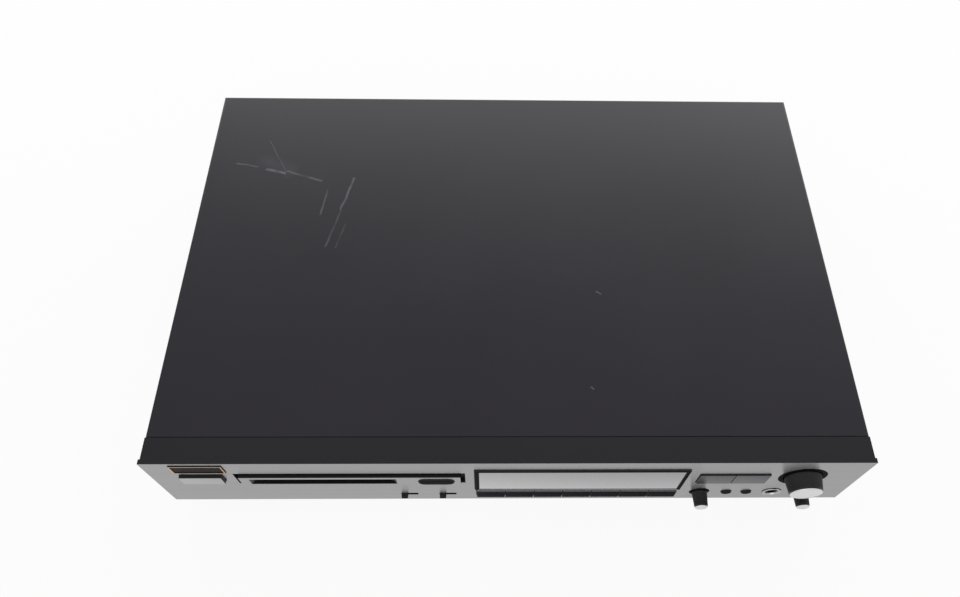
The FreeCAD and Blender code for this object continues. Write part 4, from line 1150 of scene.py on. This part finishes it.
def socket_grids(across, height, half, out, bore, inner, insulator):
    """Block behind the panel, metal sleeve and insulator of one round socket."""
    middle = (across, 0, height)
    tip, root = REAR + out, REAR - 1.2 * MM
    block = moulded_grid(
        (across - half, across + half),
        (height - half, height + half),
        [(0, REAR - 15.2 * MM), (0, REAR - 1.3 * MM)],
        0.5 * MM,
    )
    sleeve_profile = [
        (SLEEVE, root),
        (SLEEVE, tip - 0.4 * MM),
        (SLEEVE - 0.15 * MM, tip - 0.1 * MM),
        (SLEEVE - 0.35 * MM, tip),
        (inner + 0.15 * MM, tip),
        (inner, tip - 0.15 * MM),
        (inner, root),
    ]
    ring_profile = [
        (inner - 0.02 * MM, root),
        (inner - 0.02 * MM, tip - 0.9 * MM),
        (inner - 0.3 * MM, tip - 0.7 * MM),
        (bore + 0.3 * MM, tip - 0.7 * MM),
        (bore, tip - 0.9 * MM),
        (bore, root),
    ]
    sleeve = turned_grid(middle, sleeve_profile, SOCKET_STEPS)
    ring = turned_grid(middle, ring_profile, SOCKET_STEPS)
    return [(block, False, 2), (sleeve, True, 0), (ring, True, insulator)]


def rear_sockets(node, columns, half, out, bore, inner, insulators, materials):
    """Columns of two sockets, counted from the node's lowest corner; sizes are in mm."""
    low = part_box(node)[0]
    half = half * MM
    grids = []
    for column in range(columns):
        for row in range(2):
            across = low[0] + half + column * SOCKET_PITCH
            height = low[2] + half + row * SOCKET_PITCH
            sizes = (half, out * MM, bore * MM, inner * MM)
            grids += socket_grids(across, height, *sizes, insulators[row])
    place_piece(node + "_turned", mesh_of(node + "_turned", grids), node, *materials)
    print(node, 2 * columns, "sockets")


PHONO = ("jack_metal", "socket_white", "black_plastic", "socket_red")
REMOTE = ("black_plastic", "black_plastic", "black_plastic", "jack_metal")
rear_sockets("analogue_jacks", 2, 8, 5, 1.7, 3.3, (3, 1), PHONO)
rear_sockets("remote_jacks", 1, 6, 1.9, 1.75, 2.9, (3, 3), REMOTE)

# %% [markdown]
# The screws are pan heads with a cross recess. A head is a turned dome whose height
# drops inside a cross, so one formula of radius and angle gives the whole face.

# %% Screw shape
RECESS_WIDE, RECESS_REACH, RECESS_DEEP = 0.28 * MM, 1.5 * MM, 0.55 * MM


def screw_grid(tip, outward, long, steps=48):
    """Rings of a dome with a cross pressed in; outward is the head's axis, tip its top."""
    head_radius = [0.15, 0.5, 0.8, 1.1, 1.35, 1.6, 2.1, 2.6, 2.9, 3.0, 3.0]
    head_depth = [0, 0.01, 0.02, 0.03, 0.05, 0.08, 0.16, 0.32, 0.55, 0.8, 1.0]
    radius = np.array(head_radius + [1.4, 1.4, 1.0]) * MM
    dome = np.array(head_depth + [1.0, long - 0.4, long]) * MM
    angle = np.linspace(0, 2 * math.pi, steps, endpoint=False)
    first = radius[:, None] * np.cos(angle)
    second = radius[:, None] * np.sin(angle)
    arm = np.minimum(np.abs(first), np.abs(second))
    inside = (arm < RECESS_WIDE) & (radius[:, None] < RECESS_REACH)
    recess = RECESS_DEEP * (1 - radius[:, None] / (2.2 * MM))
    depth = dome[:, None] + np.where(inside, recess, 0.0)
    axis = np.array(outward, dtype=float)
    side = np.array([0, 1.0, 0]) if axis[2] else np.array([0, 0, 1.0])
    other = np.cross(axis, side)
    spread = first[..., None] * side + second[..., None] * other
    return np.array(tip) + spread - depth[..., None] * axis


print("a screw of 8 mm has", screw_grid((0, 0, 0), (0, 0, 1), 8).size // 3, "points")

# %% [markdown]
# All screws share one node, so the node's mesh is first taken apart. Points that an edge
# joins belong to the same screw. Each screw's box then gives its axis and length, and
# its wider end is the head.

# %% Screws


def separate_screws(mesh):
    """Points of each loose screw: every point takes the lowest number that an edge leads to."""
    places = vertex_places(mesh)
    merged = np.unique(np.round(places, 6), axis=0, return_inverse=True)[1].reshape(-1)
    ends = merged[edge_ends(mesh)]
    label = np.arange(merged.max() + 1)
    changed = True
    while changed:
        lowest = label.copy()
        np.minimum.at(lowest, ends[:, 0], label[ends[:, 1]])
        np.minimum.at(lowest, ends[:, 1], label[ends[:, 0]])
        changed = bool((lowest != label).any())
        label = lowest
    own = label[merged]
    return [places[own == number] for number in np.unique(own)]


def turned_screw(points):
    """The long side of the screw's box is its axis, and the end over 4 mm wide its head."""
    low, high = points.min(axis=0), points.max(axis=0)
    along = int(np.argmax(high - low))
    at_high = points[points[:, along] > high[along] - 0.05 * MM]
    head_is_high = np.ptp(at_high, axis=0).max() > 4 * MM
    outward = np.zeros(3)
    outward[along] = 1 if head_is_high else -1
    tip = (low + high) / 2
    tip[along] = high[along] if head_is_high else low[along]
    return screw_grid(tip, outward, (high - low)[along] / MM)


loose = separate_screws(frame["nodes"]["screws"].data)
screw_mesh = mesh_of("screws_turned", [(turned_screw(points), False, 0) for points in loose])
place_piece("screws_turned", screw_mesh, "screws", "screw_steel")
print(len(loose), "screws turned")
